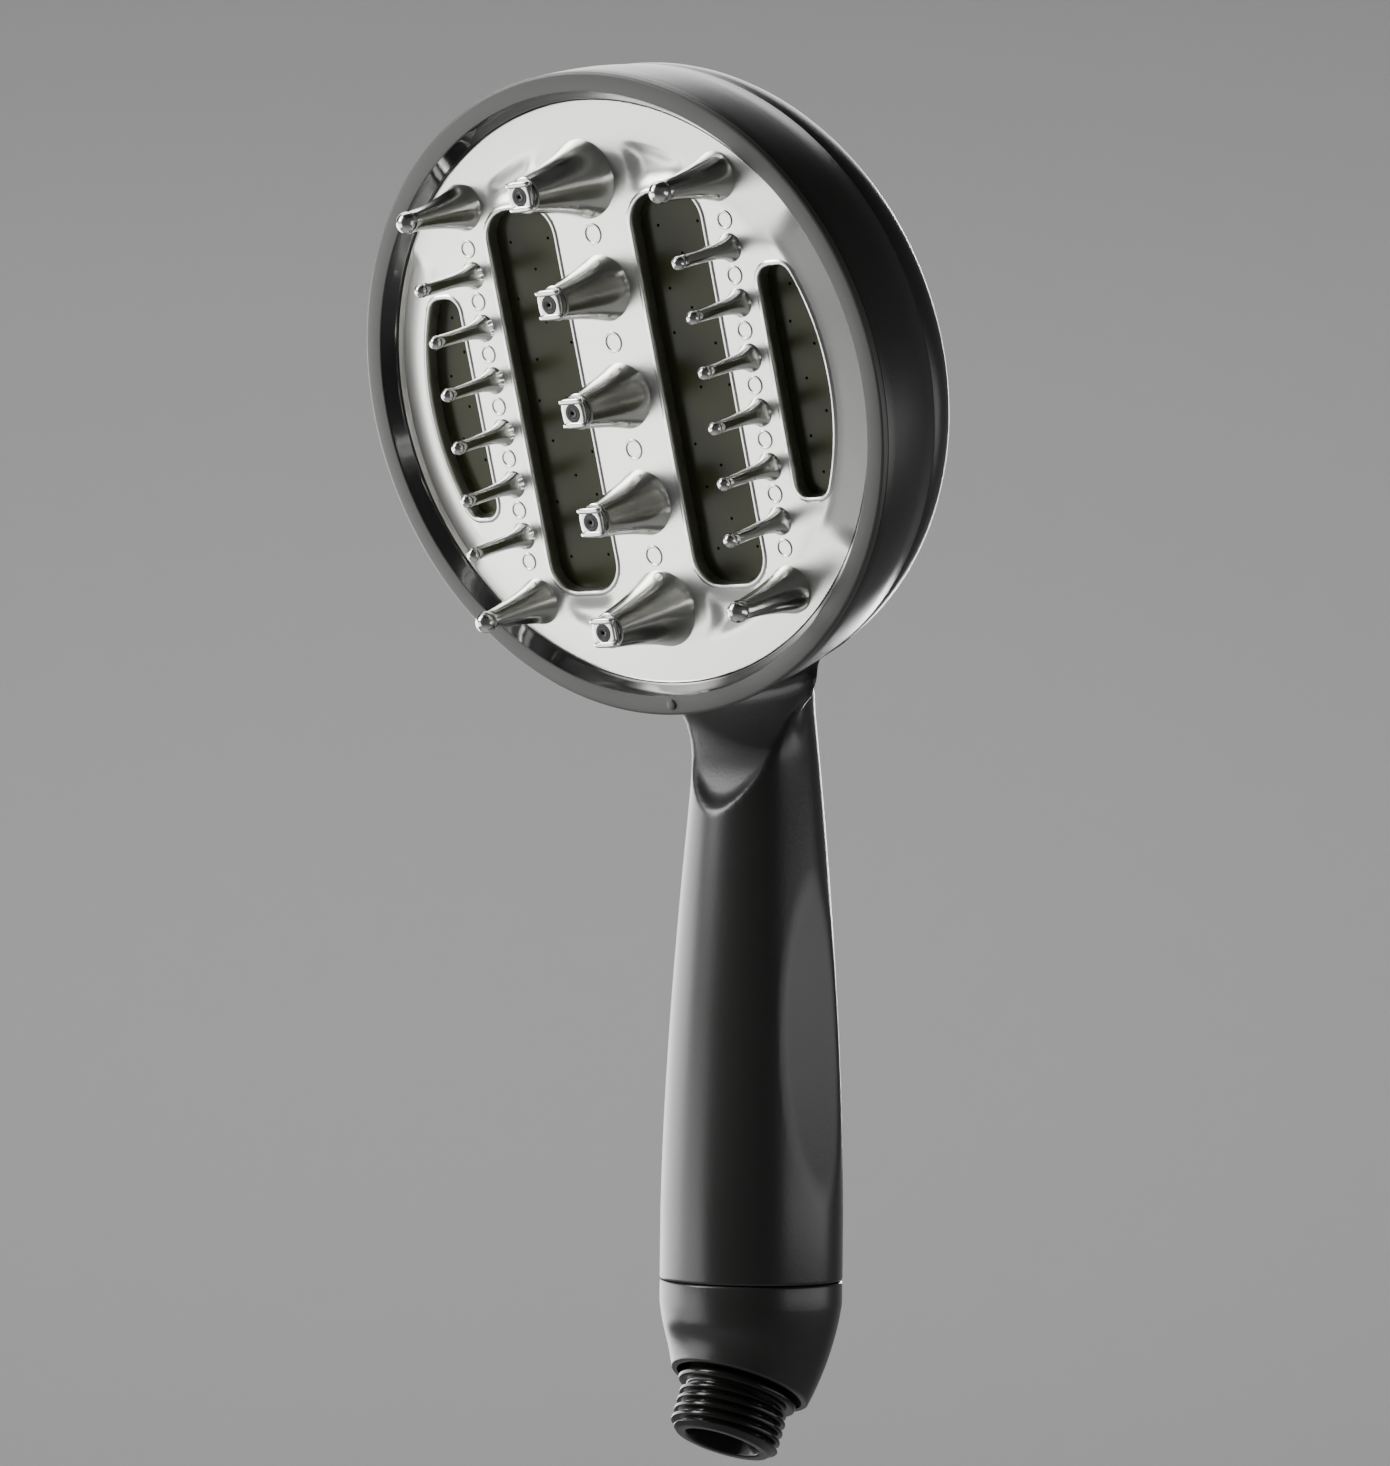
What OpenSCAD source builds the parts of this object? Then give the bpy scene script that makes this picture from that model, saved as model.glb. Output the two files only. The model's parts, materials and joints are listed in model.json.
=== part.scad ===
// Handheld scalp-massage shower head.
// Row frame: +Z runs up the handle, the spray face looks towards -Y and tips down.
// The origin is the centre of the hose thread's end face.
// Head frame (inside at_head): x is across the face, y is up the face, z is out of the face,
// and its origin is the middle of the massage plate's front.
// Handle frame (inside at_handle): the origin is where the handle's axis meets the head's lower edge,
// z is up the handle and every station is a distance down from there.

/* [Head] */
// Outside diameter of the head
head_d = 120; // [118:1:122]
// Angle between the face and the handle's axis
face_tilt = 17.9; // [15:0.1:20]
// Height of the bezel's flat rim above the massage plate
rim_h = 2.9; // [2:0.1:3.5]
// Distance from the plate's front back to the seam of the rear cover
cover_seam = 15.1; // [14.5:0.1:16]
// Depth of the rear cover's dome behind its seam
dome_depth = 19.8; // [18:0.1:22]
// Thickness of the moulded outer walls
wall = 2; // [1.6:0.1:2.4]

/* [Massage plate] */
// Diameter of the massage plate
plate_d = 108.8; // [107:0.1:109]
// Distance of the long slots' inner edges from the middle
slot_in = 9.4; // [9:0.1:10]
// Distance of the long slots' outer edges from the middle
slot_out = 25.3; // [24:0.1:26]
// Half the length of the long slots
slot_half = 36.2; // [34:0.1:37]
// Corner radius of the long slots
slot_corner = 5.5; // [4:0.1:6.5]
// Straight inner edge of the side windows
window_in = 35.8; // [35:0.1:37]
// Radius of the side windows' outer edges
window_r = 47; // [46:0.1:47.4]
// Half the length of the side windows
window_half = 21; // [18:0.1:22]

/* [Pins] */
// Spacing of the five nozzle pins
nozzle_pitch = 20.1; // [19:0.1:20.5]
// Height of the nozzle pins: middle, next and outer ones
nozzle_h = [15.3, 16.1, 18.5]; // [12:0.1:20]
// Spacing of the side pins
side_pitch = 10; // [9.5:0.1:10.2]
// Distance of the side pins from the middle
side_x = 30.6; // [30:0.1:31]
// Height of the side pins, from the middle outwards
side_h = [14.5, 14.9, 16.1]; // [12:0.1:18]
// Height of the four corner pins
corner_h = 17.7; // [14:0.1:20]
// Place of the corner pins
corner_xy = [30, 37.8]; // [28:0.1:39]

/* [Handle] */
// Distance from the head's lower edge down to the cap's seam
grip_len = 113.6; // [112:0.1:116]
// Radius of the handle at the cap's seam
grip_r = 17.3; // [17:0.1:18]
// Radius of the neck where it meets the head
neck_r = 10.3; // [10:0.1:10.6]
// Distance of the handle's axis behind the plate's front, at the head's lower edge
axis_back = 23.4; // [22.5:0.1:24]
// Depth of the thumb recess on each side
recess_depth = 2; // [1:0.1:2.2]

/* [Cap and hose thread] */
// Tilt of the hose connector forward from the handle's axis
inlet_tilt = 25.7; // [20:0.1:30]
// Distance down the handle's axis to the end of the hose thread
inlet_down = 143.8; // [142:0.1:146]
// Distance in front of the handle's axis of the end of the hose thread
inlet_front = 8.3; // [7:0.1:9]
// Major radius of the G1/2 hose thread
thread_r = 10.48; // [10.3:0.01:10.5]
// Pitch of the hose thread
thread_pitch = 1.814; // [1.8:0.001:1.82]
// Length of the connector in front of the cap's rim
inlet_len = 12; // [11:0.1:13]
// Radius of the connector's bore
inlet_bore_r = 7; // [6:0.1:7.2]

/* [Hidden] */
$fn = 64;

charcoal = [0.16, 0.16, 0.15];
chrome = [0.85, 0.85, 0.82];
olive = [0.3, 0.3, 0.2];
black = [0.05, 0.05, 0.05];
natural = [0.88, 0.88, 0.84];

head_r = head_d / 2;
plate_r = plate_d / 2;
eps = 0.01;                        // overshoot of a cutter past the face it opens
fit_gap = 0.3;                     // gap between curved faces of bodies that move

// Handle axis and the head's place on it
axis_y = inlet_front;
axis_z = inlet_down;
head_y = axis_y - axis_back * cos(face_tilt) - head_r * sin(face_tilt);
head_z = axis_z - axis_back * sin(face_tilt) + head_r * cos(face_tilt);

// Head shell
seam_r = 58.6;                     // outside radius at the rear cover's seam
band_front = 1.4;                  // front edge of the band, just behind the bezel's rim
band_in = 57.2;                    // inside radius of the band
dome_power = 2.6;                  // power of the superellipse that rounds the dome
dome_steps = 14;

// Face unit, positions along the head's axis
rim_in = 56.4;                     // inner edge of the bezel's flat rim
skirt_out = band_in - fit_gap;     // outside of the bezel's skirt
skirt_in = 54.9;
ledge_in = 49.4;                   // inner edge of the bezel's ledge
plate_t = 2.7;
ledge_back = -4.7;
spray_front = -2.8;
spray_back = -4.3;
spray_r = 49.2;
gasket_in = 47.8;
gasket_t = 0.8;
manifold_back = -12;
manifold_floor = -10.2;
manifold_r = 54.6;
manifold_screw_ring = 52.2;
latch_back = -16.8;                // rear end of the manifold's latch skirt
latch_in = 52.7;
hook_in = 50.3;
hook_front = -14.8;
latch_span = 26;                   // degrees round the axis of a hook
lug_span = 22;                     // degrees round the axis of a lug
latch_count = 3;
twist = 40;                        // degrees from locked to free

// Water body
body_r = 49.9;
body_in = 47.4;
body_front = -12.8;
body_floor = -17.4;
body_back = -19;
lug_out = 52.3;
lug_back = -14.6;
spigot_out = body_in - fit_gap;
spigot_in = 44.6;
seal_r = 0.85;
port_y = -38;                      // height of the water body's rear port
port_r = 6;
port_back = -28.3;
elbow_z = -23.05;                  // place of the elbow's straight run behind the face
elbow_leg_r = 4;                   // the elbow's run behind the face, which plugs into the port
elbow_r = 5;                       // the elbow's leg in the neck
elbow_ball = 0.15;                 // how far the elbow's corner stands out from its legs
bore_r = 3.2;                      // radius of the water passage
screw_ring = 40;
screw_r = 1.4;
boss_r = 3.4;

// Pins
pin_steps = 16;
nozzle_base = [6.2, 6.2, 7.3];     // base radius of the nozzle pins, from the middle outwards
nozzle_shaft = 1;                  // radius the trumpet would fade to, never reached
nozzle_flare = 16.5;               // length over which the trumpet fades towards it
stem_r = 4.4;
pin_seal_t = 0.9;
nozzle_bore = 1.65;
tip_len = 1.95;
tip_half = 2.8;
lug_bar = 1.1;
lug_h = 0.4;
insert_len = 5;
jet_r = 0.3;
corner_base = 4.5;
corner_shaft = 1;
corner_flare = 10.5;
corner_ball = 2.05;
side_base = 2.7;
side_shaft = 1.22;
side_flare = 2.3;
side_ball = 1.3;
peg_r = 1.1;
spray_hole_r = 0.3;
// Spray holes: the radius of a ring and the angles of its holes, mirrored to all four quarters
spray_rings = [
    [16.1, [0, 40]], [22.7, [0, 20, 40, 54.5]], [30.2, [40, 54.5]], [32.8, [66.3]], [37.4, [53.4]],
    [40.3, [0, 15]], [43.8, [8, 23]]
];

// Handle, stations down from the head's lower edge
chamber_r = 11.8;
chamber_top = 26;
socket_top = 98.6;
socket_r = 14.3;
riser_r = 4;
riser_top = 4;
recess_mid = 67.5;
recess_half = 29.5;
recess_x = 15.7;                   // half the grip's width in the middle of the recess
recess_lean = 2.9;                 // degrees that the grip's side leans from the axis
scoop_low = 24.4;                  // lower end of the scoop under the head
swell_len = 101;                   // length over which the grip swells
swell_power = 1.6;

// Cartridge, stations down from the head's lower edge
case_r = 11.3;
case_in = 10.1;
case_top = 33;
case_low = 96;
cartridge_low = 98.4;
spigot_r = 4.7;
socket_flange = 9;
riser_seal_r = 7;

// Cap
cap_spigot_r = 14;
cap_spigot_in = 12.4;
cap_top = grip_len + 0.1;
cap_straight = 118;
rim_r = 13;
connector_in = 10;
flange_r = 11.5;
core_r = 9.3;
ridge_count = 5;

// ---- frames ----

module at_head() {
    translate([0, head_y, head_z])
        rotate([90 + face_tilt, 0, 0])
            children();
}

module at_handle() {
    translate([0, axis_y, axis_z])
        children();
}

// The inlet frame: z points up the connector, and 0 is the end face of the hose thread
module at_inlet() {
    rotate([-inlet_tilt, 0, 0])
        children();
}

// ---- shared shapes ----

module tube(r_out, r_in, low, high) {
    translate([0, 0, low])
        difference() {
            cylinder(r = r_out, h = high - low);
            translate([0, 0, -eps])
                cylinder(r = r_in, h = high - low + 2 * eps);
        }
}

module disc(r, low, high) {
    translate([0, 0, low])
        cylinder(r = r, h = high - low);
}

module o_ring(major, minor, z) {
    translate([0, 0, z])
        rotate_extrude()
            translate([major, 0])
                circle(r = minor, $fn = 24);
}

// A block that spans an angle round the axis
module sector(r_out, r_in, low, high, mid, span) {
    translate([0, 0, low])
        linear_extrude(height = high - low)
            intersection() {
                difference() {
                    circle(r = r_out);
                    circle(r = r_in);
                }
                rotate(mid)
                    polygon([[0, 0], [2 * r_out, -2 * r_out * tan(span / 2)],
                             [2 * r_out, 2 * r_out * tan(span / 2)]]);
            }
}

module around(count, radius, start = 0) {
    for (i = [0 : count - 1])
        rotate(start + i * 360 / count)
            translate([radius, 0, 0])
                children();
}

// Superellipse dome profile, from its rim to its pole, inset by a wall
function dome_line(inset) = [
    for (i = [0 : dome_steps])
        let (a = 90 * i / dome_steps)
            [(seam_r - inset) * pow(cos(a), 2 / dome_power),
             -cover_seam - (dome_depth - inset) * pow(sin(a), 2 / dome_power)]
];

// The grip swells from the neck and is parallel over its last stretch
function grip_radius(d) = grip_r - (grip_r - neck_r) * pow(1 - min(1, d / swell_len), swell_power);

// ---- handle shell ----

module grip_solid(grow = 0) {
    rotate_extrude()
        polygon(concat(
            [[0, 0]],
            [for (d = [0 : 5 : 110]) [grip_radius(d) + grow, -d]],
            [[grip_r + grow, -grip_len], [0, -grip_len]]
        ));
    sphere(r = neck_r + grow);
}

// Throat that widens from the neck into the underside of the head
module throat(grow = 0) {
    hull() {
        translate([0, 0, -14])
            cylinder(r = grip_radius(14) + grow, h = 1, $fn = 32);
        translate([0, -6, -2.5])
            rotate([face_tilt, 0, 0])
                cylinder(r = neck_r + 3.2 + grow, h = 5, $fn = 32);
    }
}

module scoop() {
    reach = 30;
    rotate([90, 0, -90])
        translate([0, 0, -reach])
            linear_extrude(height = 2 * reach)
                polygon([
                    [reach, -scoop_low - 6], [13, -scoop_low - 1], [11.6, -23], [10.2, -20.6],
                    [6.9, -11.5], [6.7, -8], [7.6, -5], [9.4, -3.4], [reach, -10.9]
                ]);
}

module thumb_recess(side) {
    cut_r = recess_half * recess_half / (2 * recess_depth);
    intersection() {
        translate([side * (recess_x - recess_depth), 0, -recess_mid])
            rotate([0, -side * recess_lean, 0])
                translate([side * cut_r, 0, 0])
                    rotate([90, 0, 0])
                        cylinder(r = cut_r, h = 2 * grip_r, center = true, $fn = 128);
        translate([-grip_r, -grip_r, -recess_mid - recess_half - 4])
            cube([2 * grip_r, 2 * grip_r, 2 * recess_half + 8]);
    }
}

module elbow_pocket() {
    grow = 0.05;
    translate([0, port_y, elbow_z])
        rotate([90, 0, 0])
            cylinder(r = elbow_leg_r + grow, h = head_r + port_y);
    translate([-elbow_leg_r - grow, -head_r, elbow_z])
        cube([2 * (elbow_leg_r + grow), head_r + port_y, 6]);
    translate([0, -head_r, elbow_z])
        sphere(r = elbow_r + elbow_ball + grow);
}

module handle_shell() {
    color(charcoal)
        difference() {
            union() {
                at_head()
                    rotate_extrude()
                        polygon([
                            [band_in, -cover_seam], [seam_r, -cover_seam], [59.3, -10], [59.8, -4],
                            [head_r, band_front - 0.3], [head_r - 0.3, band_front], [band_in, band_front]
                        ]);
                at_handle() {
                    grip_solid();
                    throat();
                }
            }
            at_head() {
                disc(band_in, body_back - 0.2, rim_h + 1);
                elbow_pocket();
            }
            at_handle() {
                scoop();
                thumb_recess(-1);
                thumb_recess(1);
                disc(chamber_r, -socket_top - eps, -chamber_top);
                disc(socket_r, -grip_len - eps, -socket_top);
                disc(riser_r + 0.05, -chamber_top - eps, -1);
                disc(elbow_r + 0.05, -riser_top - 3, 0);
            }
        }
}

// ---- rear cover ----

module cover_boss(angle) {
    rotate(angle)
        translate([screw_ring, 0, body_back - 10.4])
            difference() {
                cylinder(r = boss_r, h = 10.4);
                translate([0, 0, 3])
                    cylinder(r = screw_r, h = 8);
            }
}

module rear_cover() {
    lip_r = band_in - 0.1;
    color(charcoal)
        difference() {
            union() {
                at_head() {
                    rotate_extrude()
                        translate([0, -0.1])
                            polygon(concat(
                                dome_line(0),
                                [for (i = [dome_steps : -1 : 0]) dome_line(wall)[i]]
                            ));
                    tube(lip_r, lip_r - 1.6, -cover_seam - 1.5, -cover_seam + 1.6);
                    for (angle = [30, 90, 150])
                        cover_boss(angle);
                }
            }
            at_handle() {
                grip_solid(0.15);
                throat(0.15);
            }
            at_head()
                elbow_pocket();
        }
}

// ---- water body and its pipework ----

module water_body() {
    color(natural)
        at_head()
            difference() {
                union() {
                    tube(body_r, body_in, body_back, body_front);
                    disc(body_in + eps, body_back, body_floor);
                    for (i = [0 : latch_count - 1])
                        sector(lug_out, body_r - eps, lug_back, body_front, 90 + i * 120, lug_span);
                    translate([0, port_y, port_back])
                        cylinder(r = port_r, h = body_back - port_back + eps);
                }
                translate([0, port_y, port_back + 3])
                    cylinder(r = bore_r, h = body_floor - port_back);
                translate([0, port_y, elbow_z])
                    rotate([90, 0, 0])
                        cylinder(r = elbow_leg_r + 0.05, h = port_r + eps);
                for (angle = [30, 90, 150])
                    rotate(angle)
                        translate([screw_ring, 0, body_back - eps])
                            cylinder(r = 1.6, h = wall);
            }
}

module inlet_elbow() {
    color(natural)
        difference() {
            union() {
                at_head() {
                    translate([0, port_y - 3, elbow_z])
                        rotate([90, 0, 0])
                            cylinder(r = elbow_leg_r, h = head_r + port_y - 3);
                    translate([0, -head_r, elbow_z])
                        sphere(r = elbow_r + elbow_ball);
                }
                at_handle()
                    disc(elbow_r, -riser_top - 3, 0);
            }
            at_head() {
                translate([0, port_y, elbow_z])
                    rotate([90, 0, 0])
                        cylinder(r = bore_r, h = head_r + port_y);
                translate([0, -head_r, elbow_z])
                    sphere(r = bore_r + elbow_ball);
            }
            at_handle() {
                disc(bore_r, -riser_top - 3, 0);
                disc(riser_r + 0.02, -riser_top - 3 - eps, -riser_top);
            }
        }
}

module riser_tube() {
    color(natural)
        at_handle()
            difference() {
                union() {
                    disc(riser_r, -chamber_top, -riser_top);
                    disc(socket_flange, -31, -chamber_top);
                }
                disc(bore_r, -31 - eps, -riser_top + eps);
                disc(spigot_r + fit_gap, -31 - eps, -28);
                tube(riser_seal_r + 0.8, riser_seal_r - 0.8, -chamber_top - 1.5, -chamber_top + eps);
            }
}

module riser_seal() {
    color(black)
        at_handle()
            o_ring(riser_seal_r, 0.75, -chamber_top - 0.75);
}

// A screw with a slotted head, whose head sits on z = 0
module screw(length, head) {
    translate([0, 0, -length])
        cylinder(r = screw_r, h = length);
    difference() {
        cylinder(r = head, h = 1.2);
        translate([-0.3, -head, 0.7])
            cube([0.6, 2 * head, 1]);
    }
}

module body_screws() {
    color("silver")
        at_head()
            for (angle = [30, 90, 150])
                rotate(angle)
                    translate([screw_ring, 0, body_floor])
                        screw(8, 2.6);
}

// ---- face unit ----

module bezel_ring() {
    nub_y = -57.9;
    nub_r = 1.0;
    color(charcoal)
        at_head() {
            rotate_extrude()
                polygon([
                    [head_r, 1.5], [head_r, rim_h - 0.5], [head_r - 0.15, rim_h - 0.15],
                    [head_r - 0.5, rim_h], [rim_in, rim_h], [skirt_in - 0.3, 0], [skirt_in - 0.3, -plate_t - 0.05],
                    [ledge_in, -plate_t - 0.05], [ledge_in, ledge_back], [skirt_out, ledge_back],
                    [skirt_out, 1.5]
                ]);
            translate([0, nub_y, rim_h - 0.2])
                cylinder(r1 = nub_r, r2 = nub_r - 0.35, h = 0.7);
        }
}

module long_slot_outline(side) {
    mid_x = (slot_in + slot_out) / 2;
    half_w = (slot_out - slot_in) / 2;
    translate([side * mid_x, 0]) {
        square([2 * (half_w - slot_corner), 2 * slot_half], center = true);
        square([2 * half_w, 2 * (slot_half - slot_corner)], center = true);
        for (sx = [-1, 1], sy = [-1, 1])
            translate([sx * (half_w - slot_corner), sy * (slot_half - slot_corner)])
                circle(r = slot_corner);
    }
}

module window_outline(side) {
    intersection() {
        circle(r = window_r);
        translate([side > 0 ? window_in : -2 * window_in, -window_half])
            square([window_in, 2 * window_half]);
    }
}

module plate_openings() {
    for (side = [-1, 1]) {
        long_slot_outline(side);
        window_outline(side);
    }
}

module massage_plate() {
    color(chrome)
        at_head()
            translate([0, 0, -plate_t])
                linear_extrude(height = plate_t)
                    difference() {
                        circle(r = plate_r);
                        plate_openings();
                        for (i = [-2 : 2])
                            translate([0, i * nozzle_pitch])
                                circle(r = stem_r + 0.05);
                        for (side = [-1, 1]) {
                            for (i = [0 : 5])
                                translate([side * side_x, (i - 2.5) * side_pitch])
                                    circle(r = peg_r);
                            for (sy = [-1, 1])
                                translate([side * corner_xy[0], sy * corner_xy[1]])
                                    circle(r = 2.05);
                        }
                    }
}

module spray_plate() {
    color(olive)
        at_head()
            translate([0, 0, spray_back])
                linear_extrude(height = spray_front - spray_back)
                    difference() {
                        circle(r = spray_r);
                        for (i = [-2 : 2])
                            translate([0, i * nozzle_pitch])
                                circle(r = 3.05);
                        for (ring = spray_rings, a = ring[1], side = [-1, 1])
                            for (up = a == 0 ? [1] : [-1, 1])
                                translate([side * ring[0] * cos(a), up * ring[0] * sin(a)])
                                    circle(r = spray_hole_r, $fn = 16);
                    }
}

module plate_gasket() {
    color(black)
        at_head()
            tube(spray_r, gasket_in, spray_back - gasket_t, spray_back);
}

module nozzle_manifold() {
    color(natural)
        at_head()
            difference() {
                union() {
                    tube(manifold_r, ledge_in, manifold_back, ledge_back - 0.05);
                    tube(ledge_in + eps, gasket_in - 0.6, manifold_back, spray_back - gasket_t);
                    disc(manifold_r, manifold_back, manifold_floor);
                    tube(manifold_r, latch_in, latch_back, manifold_back + eps);
                    tube(spigot_out, spigot_in, -15.6, manifold_back + eps);
                    for (i = [0 : latch_count - 1])
                        sector(latch_in + eps, hook_in, latch_back, hook_front, 90 + i * 120, latch_span);
                }
                disc(12, manifold_back - eps, manifold_floor + eps);
                o_ring(spigot_out - seal_r + 0.2, seal_r, -13.9);
                around(6, manifold_screw_ring, 30)
                    disc(0.9, -8, ledge_back);
            }
}

module manifold_screws() {
    color("silver")
        at_head()
            around(6, manifold_screw_ring, 30)
                disc(0.85, -7.5, ledge_back - 0.05);
}

module face_seal() {
    color(black)
        at_head()
            o_ring(spigot_out - seal_r + 0.2, seal_r, -13.9);
}

module pin_seals() {
    color(black)
        at_head()
            for (i = [-2 : 2])
                translate([0, i * nozzle_pitch, 0])
                    difference() {
                        disc(stem_r, spray_front, spray_front + pin_seal_t);
                        disc(3, spray_front - eps, spray_front + pin_seal_t + eps);
                    }
}

// Trumpet outline: the radius falls from the base to the shaft as the pin rises
function flare(base, shaft, fade, z) = shaft + (base - shaft) * exp(-z / fade);

function flare_line(base, shaft, fade, height) = [
    for (i = [0 : pin_steps])
        let (z = height * pow(i / pin_steps, 1.6))
            [flare(base, shaft, fade, z), z]
];

module nozzle_pin(i) {
    ring = abs(i);
    height = nozzle_h[ring];
    shoulder = height - tip_len;
    base = nozzle_base[ring];
    color(chrome)
        at_head()
            translate([0, i * nozzle_pitch, 0])
                difference() {
                    union() {
                        rotate_extrude()
                            polygon(concat(
                                [[0, 0]], flare_line(base, nozzle_shaft, nozzle_flare, shoulder), [[0, shoulder]]
                            ));
                        disc(tip_half - 0.3, shoulder - eps, shoulder + 0.6);
                        disc(tip_half, shoulder + 0.5, height - lug_h);
                        for (side = [-1, 1])
                            intersection() {
                                disc(tip_half + 0.2, shoulder + 1, height);
                                translate([-tip_half, side * (tip_half - lug_bar / 2) - lug_bar / 2, shoulder + 1])
                                    cube([2 * tip_half, lug_bar, tip_len - 1]);
                            }
                        disc(stem_r, spray_front + pin_seal_t, eps);
                        disc(3, spray_back - 1, 0);
                    }
                    disc(nozzle_bore, height - lug_h - insert_len, height);
                    disc(nozzle_bore - 0.4, spray_back - 1 - eps, height);
                }
}

module nozzle_insert(i) {
    height = nozzle_h[abs(i)] - lug_h;
    color(black)
        at_head()
            translate([0, i * nozzle_pitch, 0])
                tube(nozzle_bore, jet_r, height - insert_len, height + 0.1);
}

module plain_pin(base, shaft, fade, ball, height, peg) {
    middle = height - ball;
    rotate_extrude()
        polygon(concat([[0, 0]], flare_line(base, shaft, fade, middle), [[0, middle]]));
    translate([0, 0, middle])
        sphere(r = ball);
    disc(peg, -plate_t, eps);
}

module corner_pin(sx, sy) {
    color(chrome)
        at_head()
            translate([sx * corner_xy[0], sy * corner_xy[1], 0])
                plain_pin(corner_base, corner_shaft, corner_flare, corner_ball, corner_h, 2);
}

module side_pins(side) {
    color(chrome)
        at_head()
            for (i = [0 : 5])
                translate([side * side_x, (i - 2.5) * side_pitch, 0])
                    plain_pin(side_base, side_shaft, side_flare, side_ball,
                              side_h[floor(abs(i - 2.5))], peg_r);
}

// ---- cartridge ----

module cartridge_case() {
    window_h = 8;
    color(natural)
        at_handle()
            difference() {
                tube(case_r, case_in, -case_low, -case_top);
                for (row = [0 : 4], turn = [0 : 3])
                    translate([0, 0, -case_top - 10 - row * 11])
                        rotate(turn * 90 + row * 45)
                            translate([0, -2, -window_h / 2])
                                cube([case_r + 1, 4, window_h]);
            }
}

module cartridge_top() {
    color(natural)
        at_handle()
            difference() {
                union() {
                    disc(case_r, -case_top, -case_top + 1.7);
                    disc(spigot_r - 0.3, -case_top, -28.4);
                }
                disc(2.2, -case_top - eps, -28);
                o_ring(spigot_r - 0.4, 0.6, -29.6);
            }
}

module cartridge_seal() {
    color(black)
        at_handle()
            o_ring(spigot_r - 0.4, 0.6, -29.6);
}

module cartridge_base() {
    color(natural)
        at_handle()
            difference() {
                disc(case_r, -cartridge_low, -case_low);
                disc(6, -cartridge_low - eps, -case_low + eps);
            }
}

module filter_media() {
    color("white")
        at_handle()
            tube(case_in - 0.05, 2.5, -case_low, -case_top);
}

// ---- cap ----

module cap_solid() {
    hull() {
        at_handle()
            translate([0, 0, -cap_straight])
                cylinder(r = grip_r - 0.1, h = 0.5, $fn = 48);
        at_inlet()
            translate([0, 0, inlet_len])
                cylinder(r = rim_r, h = 0.5, $fn = 48);
    }
}

module end_cap() {
    color(charcoal)
        difference() {
            union() {
                cap_solid();
                at_handle() {
                    disc(grip_r, -cap_straight, -cap_top);
                    disc(cap_spigot_r, -cap_straight, -cartridge_low - 0.4);
                }
            }
            at_handle() {
                disc(cap_spigot_in, -cap_straight - 2, -cartridge_low);
                o_ring(cap_spigot_r - 0.65, 0.8, -102);
            }
            at_inlet() {
                disc(connector_in, inlet_len - 1, inlet_len + 7);
                disc(inlet_bore_r, inlet_len - 1, inlet_len + 12);
            }
        }
}

module hose_connector() {
    first = 0.9;
    ridge = 0.9;
    color(black)
        at_inlet()
            difference() {
                union() {
                    disc(core_r - 0.25, 0, 0.5);
                    disc(core_r, 0.4, inlet_len - 2.8);
                    for (i = [0 : ridge_count - 1])
                        disc(thread_r, first + i * thread_pitch - ridge / 2, first + i * thread_pitch + ridge / 2);
                    disc(flange_r, inlet_len - 2.8, inlet_len - 1.1);
                    disc(connector_in - 0.02, inlet_len - 1.2, inlet_len + 6.9);
                }
                disc(inlet_bore_r, -eps, inlet_len + 7);
            }
}

module inlet_screen() {
    hole = 0.5;
    color("silver")
        at_inlet()
            translate([0, 0, inlet_len - 2])
                linear_extrude(height = 0.6)
                    difference() {
                        circle(r = inlet_bore_r - 0.02);
                        for (x = [-4 : 2 : 4], y = [-4 : 2 : 4])
                            translate([x, y])
                                circle(r = hole, $fn = 16);
                    }
}

module flow_regulator() {
    color("ivory")
        at_inlet()
            difference() {
                disc(inlet_bore_r - 0.02, inlet_len, inlet_len + 4);
                disc(1.8, inlet_len - eps, inlet_len + 4 + eps);
                disc(5, inlet_len - eps, inlet_len + 1.5);
            }
}

module cap_seal() {
    color(black)
        at_handle()
            o_ring(cap_spigot_r - 0.65, 0.8, -102);
}

handle_shell();
rear_cover();
water_body();
inlet_elbow();
riser_tube();
riser_seal();
body_screws();
bezel_ring();
massage_plate();
spray_plate();
plate_gasket();
nozzle_manifold();
manifold_screws();
face_seal();
pin_seals();
nozzle_pin(-2);  // nozzle_pin_1
nozzle_pin(-1);  // nozzle_pin_2
nozzle_pin(0);  // nozzle_pin_3
nozzle_pin(1);  // nozzle_pin_4
nozzle_pin(2);  // nozzle_pin_5
nozzle_insert(-2);  // nozzle_insert_1
nozzle_insert(-1);  // nozzle_insert_2
nozzle_insert(0);  // nozzle_insert_3
nozzle_insert(1);  // nozzle_insert_4
nozzle_insert(2);  // nozzle_insert_5
corner_pin(-1, -1);  // corner_pin_1
corner_pin(1, -1);  // corner_pin_2
corner_pin(1, 1);  // corner_pin_3
corner_pin(-1, 1);  // corner_pin_4
side_pins(-1);  // side_pins_left
side_pins(1);  // side_pins_right
cartridge_case();
cartridge_top();
cartridge_base();
filter_media();
cartridge_seal();
end_cap();
hose_connector();
inlet_screen();
flow_regulator();
cap_seal();
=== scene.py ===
"""Looks for the handheld scalp-massage shower head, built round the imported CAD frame.

Lengths are in millimetres in this script's own frames and become metres when a piece is made.
Head frame: x across the face, y up the face, z out of it, origin in the middle of the massage plate.
Handle frame: x across, y forward, z down the handle from the head's lower edge.
Inlet frame: z up the connector from the end face of the hose thread.
"""

import json
import math

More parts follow.
